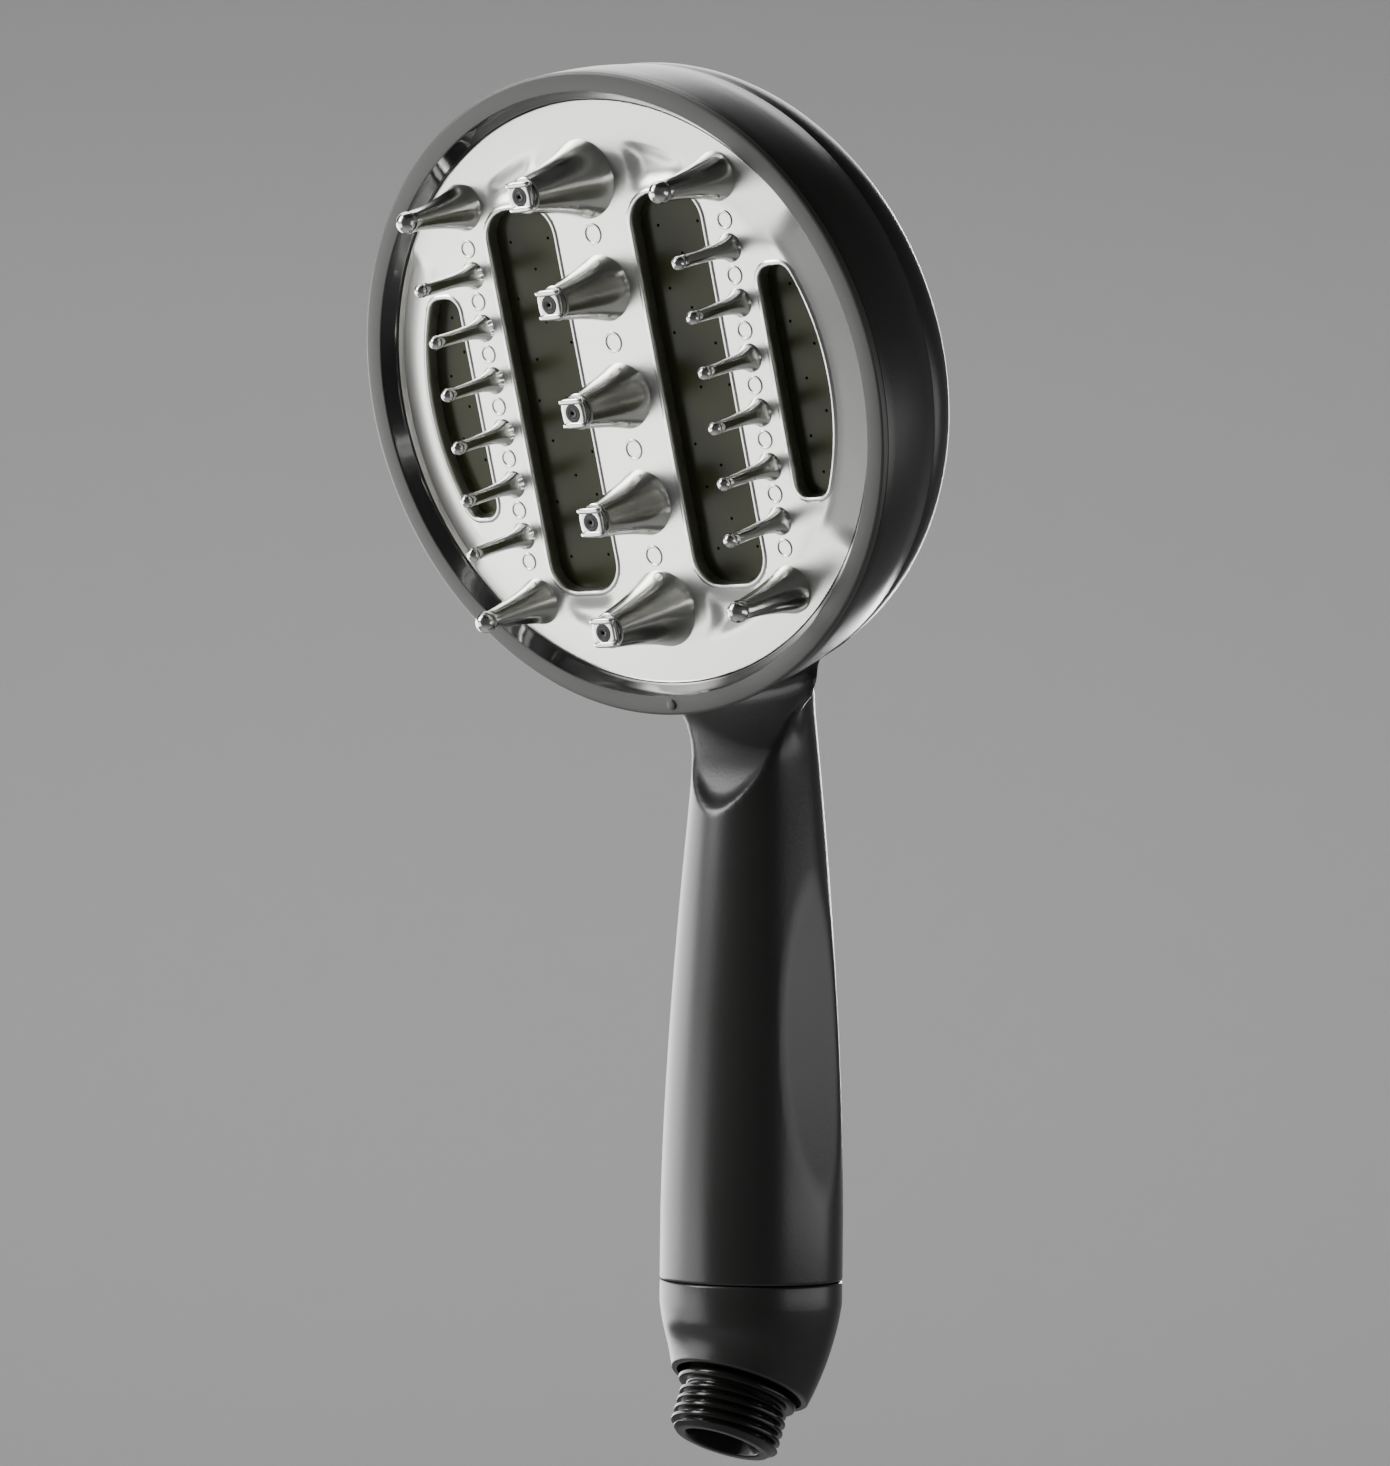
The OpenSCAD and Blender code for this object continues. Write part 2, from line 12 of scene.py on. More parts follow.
import bpy
import numpy as np
from mathutils import Euler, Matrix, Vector


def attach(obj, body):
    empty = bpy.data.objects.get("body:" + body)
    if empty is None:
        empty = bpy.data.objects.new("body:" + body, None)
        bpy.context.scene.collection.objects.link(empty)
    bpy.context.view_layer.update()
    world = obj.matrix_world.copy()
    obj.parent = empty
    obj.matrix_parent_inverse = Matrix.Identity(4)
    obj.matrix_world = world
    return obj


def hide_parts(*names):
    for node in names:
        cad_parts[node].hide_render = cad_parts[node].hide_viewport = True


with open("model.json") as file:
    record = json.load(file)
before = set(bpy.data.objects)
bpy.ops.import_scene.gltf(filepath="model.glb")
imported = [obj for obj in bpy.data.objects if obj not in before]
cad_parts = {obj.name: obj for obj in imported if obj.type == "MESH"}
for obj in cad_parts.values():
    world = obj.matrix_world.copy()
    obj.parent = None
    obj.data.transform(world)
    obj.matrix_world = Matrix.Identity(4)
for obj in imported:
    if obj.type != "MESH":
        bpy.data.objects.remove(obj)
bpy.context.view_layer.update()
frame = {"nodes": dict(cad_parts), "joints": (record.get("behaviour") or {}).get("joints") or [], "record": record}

MM = 0.001
TURN = 2 * math.pi

# ---- sizes that follow the CAD, mm ----

# Head: the band, its seam and the dome behind it
HEAD_R = 60.0
BAND_FRONT = 1.4
SEAM_W = -15.1
SEAM_R = 58.6
DOME_DEPTH = 19.8
DOME_POWER = 2.6
WALL = 2.0

# Bezel, massage plate and its openings
RIM_H = 2.9
RIM_IN = 56.4
PLATE_R = 54.4
PLATE_BACK = -2.7
SLOT_IN, SLOT_OUT = 9.4, 25.3
SLOT_HALF = 36.2
SLOT_CORNER = 5.5
WINDOW_IN = 35.8
WINDOW_R = 47.0
WINDOW_HALF = 21.0

# Pins of the middle row and of the side columns, each from the middle outwards, and corner pins
NOZZLE_PITCH = 20.1
NOZZLE_H = [15.3, 16.1, 18.5]
NOZZLE_BASE = [6.2, 6.2, 7.3]
SIDE_X, SIDE_PITCH = 30.6, 10.0
SIDE_H = [14.5, 14.9, 16.1]
CORNER_X, CORNER_Y, CORNER_H = 30.0, 37.8, 17.7

# Handle and inlet. The handle's top is at the head's lower edge, AXIS_BACK behind the face.
# The grip is 0.02 thinner than the CAD's, which keeps the collar inside the CAD's box
GRIP_LEN = 113.6
GRIP_R = 17.28
NECK_R = 10.3
AXIS_BACK = 23.4
INLET_LEN = 12.0
THREAD_R = 10.48
THREAD_PITCH = 1.814

# ---- small clearances of the looks, mm ----

COVER_R = SEAM_R - 0.08
COVER_DEPTH = DOME_DEPTH - 0.30
SEAM_GAP = 0.1

# ---- frames ----


class Frame:
    """An origin and three axes. at() takes points in the frame to the row frame, both in mm."""

    def __init__(self, origin, x, y, z):
        self.origin = np.array(origin, float)
        self.axes = np.array([x, y, z], float)

    def at(self, points):
        return self.origin + np.asarray(points, float) @ self.axes


joints = {j["name"]: j for j in frame["joints"]}
mounts = {m["name"]: m for m in frame["record"]["mounts"]}

ACROSS = np.array([1.0, 0.0, 0.0])
face_axis = np.array(joints["face_twist"]["axis"], float)
face_centre = np.array(joints["face_twist"]["pos_m"]) / MM
HEAD = Frame(face_centre, ACROSS, np.cross(face_axis, ACROSS), face_axis)
seam_point = np.array(joints["cap_turn"]["pos_m"]) / MM
HANDLE = Frame(seam_point + [0, 0, GRIP_LEN], ACROSS, [0, -1, 0], [0, 0, -1])
inlet_axis = -np.array(mounts["hose_thread"]["axis"], float)
thread_end = np.array(mounts["hose_thread"]["pos_m"]) / MM
INLET = Frame(thread_end, ACROSS, np.cross(inlet_axis, ACROSS), inlet_axis)
FACE_TILT = math.asin(-face_axis[2])
INLET_TILT = math.acos(inlet_axis[2])

# ---- mesh helpers ----


def piece(name, points, faces, materials, where, body, replaces=(), face_material=None, sharp=35):
    """A mesh object made of points in a frame, riding on a body, with smooth shading up to an angle."""
    mesh = bpy.data.meshes.new(name)
    mesh.from_pydata((where.at(points) * MM).tolist(), [], [list(map(int, f)) for f in faces])
    for finish in materials:
        mesh.materials.append(finish)
    if face_material is not None:
        mesh.polygons.foreach_set("material_index", np.asarray(face_material, np.int32))
    mesh.validate()
    mesh.shade_smooth()
    mesh.set_sharp_from_angle(angle=math.radians(sharp))
    obj = bpy.data.objects.new(name, mesh)
    bpy.context.scene.collection.objects.link(obj)
    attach(obj, body)
    if replaces:
        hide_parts(*replaces)


class Build:
    """Collects parts of one mesh: points, faces and the material of each face."""

    def __init__(self):
        self.points, self.faces, self.materials, self.count = [], [], [], 0

    def add(self, points, faces, material=0, at=(0, 0, 0)):
        points = np.asarray(points, float) + at
        self.points.append(points)
        self.faces += [[int(i) + self.count for i in f] for f in faces]
        self.materials += list(np.broadcast_to(material, len(faces)))
        self.count += len(points)
        return self

    def make(self, name, materials, where, body, slot, replaces=(), sharp=35):
        points = np.concatenate(self.points)
        piece(name, points, self.faces, materials, where, body, replaces, self.materials, sharp)


def grid_faces(rows, columns, closed_rows=False, closed_columns=True):
    """Quads of a grid of points held row after row."""
    faces = []
    for r in range(rows if closed_rows else rows - 1):
        r2 = (r + 1) % rows
        for c in range(columns if closed_columns else columns - 1):
            c2 = (c + 1) % columns
            faces.append([r * columns + c, r * columns + c2, r2 * columns + c2, r2 * columns + c])
    return faces


def revolve(profile, segments=96, closed=True):
    """A profile of (radius, height) turned round z.

    A closed profile gives a ring, an open one ends in flat caps.
    """
    profile = np.asarray(profile, float)
    turn = np.arange(segments) * TURN / segments
    r, z = profile[:, 0][:, None], profile[:, 1][:, None]
    points = np.stack([r * np.cos(turn), r * np.sin(turn), z + 0 * turn], -1).reshape(-1, 3)
    faces = grid_faces(len(profile), segments, closed_rows=closed)
    if not closed:
        faces.append(list(range(segments))[::-1])
        faces.append([(len(profile) - 1) * segments + i for i in range(segments)])
    return points, faces


def arc(centre, radius, start, end, steps=6):
    """Points of an arc, angles in degrees."""
    a = np.radians(np.linspace(start, end, steps + 1))
    return [(centre[0] + radius * math.cos(t), centre[1] + radius * math.sin(t)) for t in a]


def smooth_min(a, b, k):
    """The smaller of two distances, rounded over a width k where they meet."""
    h = np.clip(0.5 + 0.5 * (b - a) / k, 0, 1)
    return b + (a - b) * h - k * h * (1 - h)


def smooth_max(a, b, k):
    return -smooth_min(-a, -b, k)


def smoothstep(low, high, value):
    t = np.clip((value - low) / (high - low), 0, 1)
    return t * t * (3 - 2 * t)


# ---- materials ----

COAT_ROUGHNESS = 0.06
TINT_STOPS = (0.3, 0.7)
UNEVEN_RANGE = (0.1, 0.9)
GRAIN_HEIGHT = 0.2 * MM


def material(name, colour, roughness, metallic=0.0, coat=0.0, specular=0.5, tint=0.06, spread=0.05,
             grain=900.0, bump=0.02, cloud=35.0, stretch=(1, 1, 1)):
    """Moulded or plated finish: cloudy tint, uneven roughness and a fine grain in the bump.

    tint and spread say how much the clouds change the colour and the roughness. cloud and grain are
    the scales of the two noises, in cells per metre.
    """
    mat = bpy.data.materials.new(name)
    mat.use_nodes = True
    nodes, links = mat.node_tree.nodes, mat.node_tree.links
    shader = nodes["Principled BSDF"]
    shader.inputs["Metallic"].default_value = metallic
    shader.inputs["Specular IOR Level"].default_value = specular
    shader.inputs["Coat Weight"].default_value = coat
    shader.inputs["Coat Roughness"].default_value = COAT_ROUGHNESS
    place = nodes.new("ShaderNodeTexCoord")
    mapping = nodes.new("ShaderNodeMapping")
    mapping.inputs["Scale"].default_value = stretch
    links.new(place.outputs["Object"], mapping.inputs["Vector"])
    clouds = nodes.new("ShaderNodeTexNoise")
    clouds.inputs["Scale"].default_value = cloud
    clouds.inputs["Detail"].default_value = 4
    links.new(mapping.outputs["Vector"], clouds.inputs["Vector"])
    ramp = nodes.new("ShaderNodeValToRGB")
    for stop, place_at, k in zip(ramp.color_ramp.elements, TINT_STOPS, (1 - tint, 1 + tint)):
        stop.position = place_at
        stop.color = (*[min(1.0, c * k) for c in colour], 1)
    links.new(clouds.outputs["Fac"], ramp.inputs["Fac"])
    links.new(ramp.outputs["Color"], shader.inputs["Base Color"])
    fine = nodes.new("ShaderNodeTexNoise")
    fine.inputs["Scale"].default_value = grain
    fine.inputs["Detail"].default_value = 3
    links.new(mapping.outputs["Vector"], fine.inputs["Vector"])
    uneven = nodes.new("ShaderNodeMapRange")
    uneven.inputs["From Min"].default_value = UNEVEN_RANGE[0]
    uneven.inputs["From Max"].default_value = UNEVEN_RANGE[1]
    uneven.inputs["To Min"].default_value = max(0.02, roughness - spread)
    uneven.inputs["To Max"].default_value = min(1.0, roughness + spread)
    links.new(clouds.outputs["Fac"], uneven.inputs["Value"])
    links.new(uneven.outputs["Result"], shader.inputs["Roughness"])
    relief = nodes.new("ShaderNodeBump")
    relief.inputs["Strength"].default_value = bump
    relief.inputs["Distance"].default_value = GRAIN_HEIGHT
    links.new(fine.outputs["Fac"], relief.inputs["Height"])
    links.new(relief.outputs["Normal"], shader.inputs["Normal"])
    return mat


charcoal = material("charcoal_plastic", (0.026, 0.026, 0.025), 0.32, grain=1500, bump=0.10, spread=0.03)
bezel_satin = material("bezel_satin", (0.055, 0.055, 0.050), 0.42, grain=1800, bump=0.08, spread=0.03)
bezel_gloss = material("bezel_gloss", (0.020, 0.019, 0.020), 0.10, coat=0.7, grain=700, bump=0.02,
                       spread=0.03)
plate_chrome = material("plate_chrome", (0.82, 0.82, 0.79), 0.30, metallic=1, tint=0.015, grain=2600,
                        bump=0.05, spread=0.015)
pin_chrome = material("pin_chrome", (0.64, 0.64, 0.62), 0.19, metallic=1, tint=0.02, grain=2200,
                      bump=0.06, spread=0.02, stretch=(1, 0.10, 1))
olive = material("olive_plastic", (0.029, 0.031, 0.011), 0.22, specular=0.16, grain=260, bump=0.04,
                 cloud=60)
nozzle_black = material("nozzle_black", (0.012, 0.012, 0.012), 0.50, grain=2400, bump=0.15)
rubber = material("black_rubber", (0.016, 0.016, 0.016), 0.62, grain=2000, bump=0.22)
gloss_black = material("gloss_black", (0.012, 0.012, 0.011), 0.20, specular=0.28, grain=1200, bump=0.05)
natural = material("natural_plastic", (0.74, 0.74, 0.70), 0.46, grain=1300, bump=0.10, tint=0.03)
felt = material("filter_felt", (0.80, 0.80, 0.77), 0.92, grain=2600, bump=0.80, tint=0.05, spread=0.04)
steel = material("brushed_steel", (0.58, 0.58, 0.57), 0.30, metallic=1, grain=1600, bump=0.15,
                 stretch=(1, 8, 1))
# Lighter grey for the patch on the cap's end face: a painted highlight of the rim, not a part
painted_highlight_grey = material("rim_highlight_patch", (0.16, 0.16, 0.15), 0.55, grain=1500, bump=0.10)

CAD_FINISH = [
    (olive, ["spray_plate"]),
    (natural, ["water_body", "inlet_elbow", "riser_tube", "nozzle_manifold"]),
    (natural, ["cartridge_case", "cartridge_top", "cartridge_base"]),
    (felt, ["filter_media"]),
    (rubber, ["riser_seal", "plate_gasket", "face_seal", "pin_seals", "cartridge_seal", "cap_seal"]),
    (steel, ["body_screws", "manifold_screws"]),
    (nozzle_black, ["inlet_screen", "flow_regulator"]),
]
for finish, cad_names in CAD_FINISH:
    for cad_name in cad_names:
        cad_mesh = frame["nodes"][cad_name].data
        cad_mesh.materials.clear()
        cad_mesh.materials.append(finish)

# ---- handle shell: grip, neck and scoop from a distance field, band turned ----

# Here x is across, f forward and s down the handle, and w is the place along the head's axis
GRIP_TAPER_END, GRIP_TAPER_POWER = 101.0, 1.6
GRIP_TOP, GRIP_TOP_BLEND = 1.5, 2.0
BAND_LINE = [(SEAM_W, SEAM_R), (-10.0, 59.3), (-4.0, 59.8), (BAND_FRONT, HEAD_R)]

# Thumb recess on each side: its middle and half length, half width of the grip, depth and lean
RECESS_MID, RECESS_HALF, RECESS_X, RECESS_DEPTH = 67.5, 29.5, 15.7, 2.0
RECESS_LEAN = math.tan(math.radians(2.9))
RECESS_BLEND = 0.6

# Round-ended cones of the neck: start and end as (forward, down), then the two radii
NECK_CONES = [((0, 2), (3.5, -9), 10.3, 9.6), ((0, 15), (5, 1), 10.4, 12.2)]
NECK_BLEND = 1.5

# The neck's front is wider near the head: by how much, down to where, and how soon it fades below.
# It sets in over three stretches: down from above the head's edge, forward, and out from the middle
THROAT_WIDEN, THROAT_START, THROAT_FADE = 5.5, 4.0, 4.8
THROAT_DOWN, THROAT_FORWARD, THROAT_ASIDE = (-8, 2), (0, 7), (0, 8)

# Scoop in front of the neck: a level floor, a ramp through a place (down, forward), and a round
# lower edge. Gaps grow by the two grades, which keeps the blends even
SCOOP_LEVEL = 5.8
SCOOP_RAMP_S, SCOOP_RAMP_F, SCOOP_RAMP_SLOPE = 15.9, 8.2, 0.375
SCOOP_LOW = 25.0
SCOOP_ROUND, SCOOP_ROUND_MOST = 0.10, 11.0
SCOOP_FLOOR_GRADE, SCOOP_EDGE_GRADE = 0.93, 0.8
SCOOP_FLOOR_BLEND, SCOOP_INNER_BLEND, SCOOP_LIP_BLEND = 2.5, 2.6, 1.1
SCOOP_FILLET, SCOOP_FILLET_FADE, FILLET_LEAST = 5.0, 3.0, 0.04

# How wide the neck flares into the head, at the back and in front
FLARE_BACK, FLARE_FRONT = 3.5, 10.0
FLARE_CHANGE = (-28, -17)

# The patch of head surface that is part of this mesh lies a hair under the band and the rear cover
SKIN_SINK = 0.06
SINK_SHARE_BEHIND, SINK_CHANGE = 0.3, (-14, -10)
SEAM_SINK, SEAM_SINK_WIDTH = 0.3, 0.45
SKIN_DEPTH = 1.7
PATCH_CENTRE = (3.0, 1.0)
PATCH_R = 29.0
PATCH_LOW = 14.0
PATCH_DROP = 0.05
SHELL_END = 101.5
FAR_INSIDE = -5.0


def grip_radius(s):
    rise = 1 - np.clip(s / GRIP_TAPER_END, 0, 1)
    return GRIP_R - (GRIP_R - NECK_R) * np.power(rise, GRIP_TAPER_POWER)


def head_skin(x, f, s):
    """Distance outside the head's turned outer surface, and the place along the head's axis."""
    w = -AXIS_BACK + f * math.cos(FACE_TILT) + s * math.sin(FACE_TILT)
    v = -HEAD_R + f * math.sin(FACE_TILT) - s * math.cos(FACE_TILT)
    r = np.hypot(x, v)
    band = r - np.interp(w, *zip(*BAND_LINE))
    a, b, n = COVER_R, COVER_DEPTH, DOME_POWER
    ra, zb = np.maximum(r / a, 1e-6), np.maximum((SEAM_W - SEAM_GAP - w) / b, 1e-6)
    q = np.power(ra ** n + zb ** n, 1 / n)
    slope = np.hypot(ra ** (n - 1) / a, zb ** (n - 1) / b) * q ** (1 - n)
    return np.where(w > SEAM_W, band, (q - 1) / slope), w


def capsule(x, f, s, start, end, r_start, r_end):
    """Distance to a round-ended cone between two points (forward, down) in the handle's middle plane."""
    df, ds = end[0] - start[0], end[1] - start[1]
    t = np.clip(((f - start[0]) * df + (s - start[1]) * ds) / (df * df + ds * ds), 0, 1)
    reach = np.sqrt(x ** 2 + (f - start[0] - t * df) ** 2 + (s - start[1] - t * ds) ** 2)
    return reach - (r_start + t * (r_end - r_start))


def widen_throat(x, f, s):
    """Draws x in, so that what is built from it comes out wider in the neck's front, near the head."""
    near_head = np.exp(-np.maximum(s - THROAT_START, 0) / THROAT_FADE) * smoothstep(*THROAT_DOWN, s)
    widen = THROAT_WIDEN * near_head * smoothstep(*THROAT_FORWARD, f)
    return x - widen * np.sign(x) * smoothstep(*THROAT_ASIDE, np.abs(x))


def grip_field(x, f, s):
    """The grip with its thumb recesses, and the neck above it."""
    grip = smooth_max(np.hypot(x, f) - grip_radius(s), GRIP_TOP - s, GRIP_TOP_BLEND)
    from_mid = s - RECESS_MID
    side = RECESS_X + from_mid * RECESS_LEAN - RECESS_DEPTH + RECESS_DEPTH * (from_mid / RECESS_HALF) ** 2
    grip = smooth_max(grip, np.abs(x) - side, RECESS_BLEND)
    for start, end, r_start, r_end in NECK_CONES:
        grip = smooth_min(grip, capsule(x, f, s, start, end, r_start, r_end), NECK_BLEND)
    return grip


def scoop_field(x, f, s):
    """Negative in the room scooped out in front of the neck."""
    ramp = SCOOP_RAMP_F + SCOOP_RAMP_SLOPE * (s - SCOOP_RAMP_S)
    floor = smooth_max(SCOOP_LEVEL, ramp, SCOOP_FLOOR_BLEND)
    edge = s - SCOOP_LOW + np.minimum(SCOOP_ROUND * x ** 2, SCOOP_ROUND_MOST)
    return smooth_max((floor - f) * SCOOP_FLOOR_GRADE, edge * SCOOP_EDGE_GRADE, SCOOP_INNER_BLEND)


def shell_field(x, f, s):
    """Negative inside the grip, the neck and the patch of the head's shell that the neck grows from.

    The neck flares into the head's skin, the scoop is cut out, and the cut meets the skin in a fillet.
    """
    skin, w = head_skin(x, f, s)
    from_neck = np.sqrt(x ** 2 + (f - PATCH_CENTRE[0]) ** 2 + (s - PATCH_CENTRE[1]) ** 2)
    x = widen_throat(x, f, s)
    share = SINK_SHARE_BEHIND + (1 - SINK_SHARE_BEHIND) * smoothstep(*SINK_CHANGE, w)
    skin = skin + SKIN_SINK * share
    skin = skin + SEAM_SINK * np.exp(-((w - SEAM_W) / SEAM_SINK_WIDTH) ** 2)
    flare = FLARE_BACK + (FLARE_FRONT - FLARE_BACK) * smoothstep(*FLARE_CHANGE, w)
    flared = smooth_min(grip_field(x, f, s), skin, flare)
    scooped = smooth_max(flared, -scoop_field(x, f, s), SCOOP_LIP_BLEND)
    fillet = SCOOP_FILLET * smoothstep(0, SCOOP_FILLET_FADE, scooped - flared)
    joined = smooth_min(scooped, skin, np.maximum(fillet, FILLET_LEAST))
    front = np.where(s < PATCH_LOW, w - BAND_FRONT + PATCH_DROP, FAR_INSIDE)
    reach = np.where(s < PATCH_LOW, from_neck - PATCH_R, FAR_INSIDE)
    hollow = -(skin + SKIN_DEPTH)
    return np.maximum.reduce([joined, front, reach, hollow, s - SHELL_END])


def surface_nets(field, low, high, step):
    """Quads of a field's zero surface on a grid, with each point then moved onto the surface."""
    sides = [np.arange(a, b + step, step) for a, b in zip(low, high)]
    grid = np.meshgrid(*sides, indexing="ij")
    value = field(*grid)
    cells = tuple(n - 1 for n in value.shape)
    total, count = np.zeros(cells + (3,)), np.zeros(cells)
    for axis in range(3):
        others = [a for a in range(3) if a != axis]
        for i in (0, 1):
            for j in (0, 1):
                start = [0, 0, 0]
                start[others[0]], start[others[1]] = i, j
                end = list(start)
                end[axis] = 1
                cut_a = tuple(slice(o, o + n) for o, n in zip(start, cells))
                cut_b = tuple(slice(o, o + n) for o, n in zip(end, cells))
                va, vb = value[cut_a], value[cut_b]
                crosses = (va < 0) != (vb < 0)
                t = np.where(crosses, va / np.where(crosses, va - vb, 1), 0)
                at = np.zeros(cells + (3,)) + start
                at[..., axis] += t
                total += at * crosses[..., None]
                count += crosses
    active = count > 0
    number = np.full(cells, -1)
    number[active] = np.arange(active.sum())
    base = np.stack(np.nonzero(active), -1)
    points = (base + total[active] / count[active][:, None]) * step + [s[0] for s in sides]
    faces = []
    for axis in range(3):
        b, c = [(axis + 1) % 3, (axis + 2) % 3]
        cut = [slice(1, n) for n in cells]
        cut[axis] = slice(0, cells[axis])
        ahead = list(cut)
        ahead[axis] = slice(1, cells[axis] + 1)
        va, vb = value[tuple(cut)], value[tuple(ahead)]
        crosses = np.stack(np.nonzero((va < 0) != (vb < 0)), -1)
        entering = (va < 0)[tuple(crosses.T)]
        corner = crosses + [0 if a == axis else 1 for a in range(3)]
        ring = []
        for db, dc in ((1, 1), (0, 1), (0, 0), (1, 0)):
            at = corner.copy()
            at[:, b] -= db
            at[:, c] -= dc
            ring.append(number[tuple(at.T)])
        quads = np.stack(ring, -1)
        quads[~entering] = quads[~entering][:, ::-1]
        faces.append(quads)
    return points, np.concatenate(faces)


def gradient(field, points, h=0.02):
    """Slope of a field at each point, from central differences."""
    out = np.zeros_like(points)
    for axis in range(3):
        step = np.zeros(3)
        step[axis] = h
        out[:, axis] = (field(*(points + step).T) - field(*(points - step).T)) / (2 * h)
    return out


def settle(field, points, rounds=5, most=0.35):
    """Moves points along the gradient onto the zero surface."""
    for _ in range(rounds):
        g = gradient(field, points)
        move = field(*points.T)[:, None] * g / np.maximum((g ** 2).sum(1, keepdims=True), 0.2)
        length = np.linalg.norm(move, axis=1, keepdims=True)
        points = points - move * np.minimum(1, most / np.maximum(length, 1e-9))
    return points


SHELL_STEP, SHELL_QUICK_STEP = 0.7, 1.1
SHELL_GRID_LOW = (-30.1, -26.6, -28.7)
SHELL_GRID_HIGH = (30.1, 32.9, SHELL_END + 1.4)
BAND_IN = 57.2
COLLAR_IN, COLLAR_TOP = 14.3, 99.8
COLLAR_PROUD = 0.012


def make_handle_skin():
    """One closed skin from the head's patch to an end face inside the collar. It isn't hollowed out."""
    step = SHELL_STEP
    points, faces = surface_nets(shell_field, SHELL_GRID_LOW, SHELL_GRID_HIGH, step)
    points = settle(shell_field, points)
    piece("handle_skin", points, faces, [charcoal], HANDLE, "handset",
          ["handle_shell"], sharp=50)


def make_head_band():
    band = Build()
    band.add(*revolve([
        (BAND_IN, SEAM_W), (SEAM_R - 0.15, SEAM_W), (SEAM_R - 0.05, SEAM_W + 0.03), (SEAM_R, SEAM_W + 0.12),
        (59.3, -10), (59.62, -7), (59.8, -4), (59.93, -1), (59.97, BAND_FRONT - 0.4),
        (59.92, BAND_FRONT - 0.15), (59.7, BAND_FRONT - 0.04), (BAND_IN, BAND_FRONT - 0.04),
    ], 256))
    band.make("head_band", [charcoal], HEAD, "handset", "charcoal_plastic")


def make_grip_collar():
    """The grip's last stretch, down to the end cap's seam."""
    outer = GRIP_R + COLLAR_PROUD
    collar = Build()
    collar.add(*revolve([
        (COLLAR_IN, COLLAR_TOP), (outer, COLLAR_TOP), (outer, GRIP_LEN - 0.6), (outer - 0.06, GRIP_LEN - 0.3),
        (outer - 0.22, GRIP_LEN - 0.1), (outer - 0.5, GRIP_LEN - 0.05), (COLLAR_IN, GRIP_LEN - 0.05),
    ], 128))
    collar.make("grip_collar", [charcoal], HANDLE, "handset", "charcoal_plastic")


make_handle_skin()
make_head_band()
make_grip_collar()

# ---- rear cover ----

EYE_R = 0.4


def dome(inset, steps=28):
    """The rear cover's superellipse, from the seam to a small open eye in the middle."""
    a = np.linspace(0, math.pi / 2, steps + 1)
    r = (COVER_R - inset) * np.power(np.maximum(np.cos(a), 0), 2 / DOME_POWER)
    w = SEAM_W - SEAM_GAP - (COVER_DEPTH - inset) * np.power(np.sin(a), 2 / DOME_POWER)
    return [(max(p, EYE_R), q) for p, q in zip(r, w)]


def make_rear_cover():
    """The dome with a wall, and a small plug that closes its eye."""
    outer, inner = dome(0), dome(WALL)
    outer[0] = (COVER_R - 0.15, SEAM_W - SEAM_GAP)
    outer[1:1] = [(COVER_R - 0.05, SEAM_W - 0.13), (COVER_R - 0.01, SEAM_W - 0.22)]
    build = Build().add(*revolve(outer + inner[::-1], 192))
    plug = [(EYE_R + 0.01, outer[-1][1] + 0.001), (EYE_R + 0.01, inner[-1][1] - 0.001)]
    build.add(*revolve(plug, 24, closed=False))
    build.make("rear_cover_skin", [charcoal], HEAD, "handset", "charcoal_plastic", ["rear_cover"])


make_rear_cover()

# ---- bezel ----

BEZEL_SEGMENTS = 256
NUB_PLACE = [0, -57.9, RIM_H]
NUB = [(0.98, -0.2), (0.98, 0.2), (0.88, 0.36), (0.62, 0.44), (0.2, 0.46)]


def make_bezel():
    """A satin ring with a glossy chamfer on its inside, and the index nub."""
    rim = [
        (59.96, 1.5), (59.98, RIM_H - 0.45), (59.9, RIM_H - 0.2), (59.7, RIM_H - 0.05), (59.4, RIM_H),
        (RIM_IN + 0.25, RIM_H), (RIM_IN + 0.08, RIM_H - 0.04), (RIM_IN - 0.04, RIM_H - 0.18),
    ]
    chamfer = [(55.6, 1.5), (54.9, 0.4), (54.62, 0.0)]
    hidden = [(54.6, -2.74), (49.4, -2.74), (49.4, -4.7), (56.9, -4.7), (56.9, 1.5)]
    profile = rim + chamfer + hidden
    gloss_from = len(rim) - 1
    gloss_to = gloss_from + len(chamfer)
    gloss = [int(gloss_from <= i < gloss_to) for i in range(len(profile))]
    build = Build().add(*revolve(profile, BEZEL_SEGMENTS), np.repeat(gloss, BEZEL_SEGMENTS))
    build.add(*revolve(NUB, 32, closed=False), at=NUB_PLACE)
    build.make("bezel_skin", [bezel_satin, bezel_gloss], HEAD, "face_unit", "bezel_plastic", ["bezel_ring"])


make_bezel()

# ---- massage plate ----


def rounded_rectangle(cx, half_w, half_h, corner, steps=10):
    points = []
    for k, (sx, sy) in enumerate([(1, 1), (-1, 1), (-1, -1), (1, -1)]):
        centre = (cx + sx * (half_w - corner), sy * (half_h - corner))
        points += arc(centre, corner, 90 * k, 90 * k + 90, steps)
    return np.array(points)


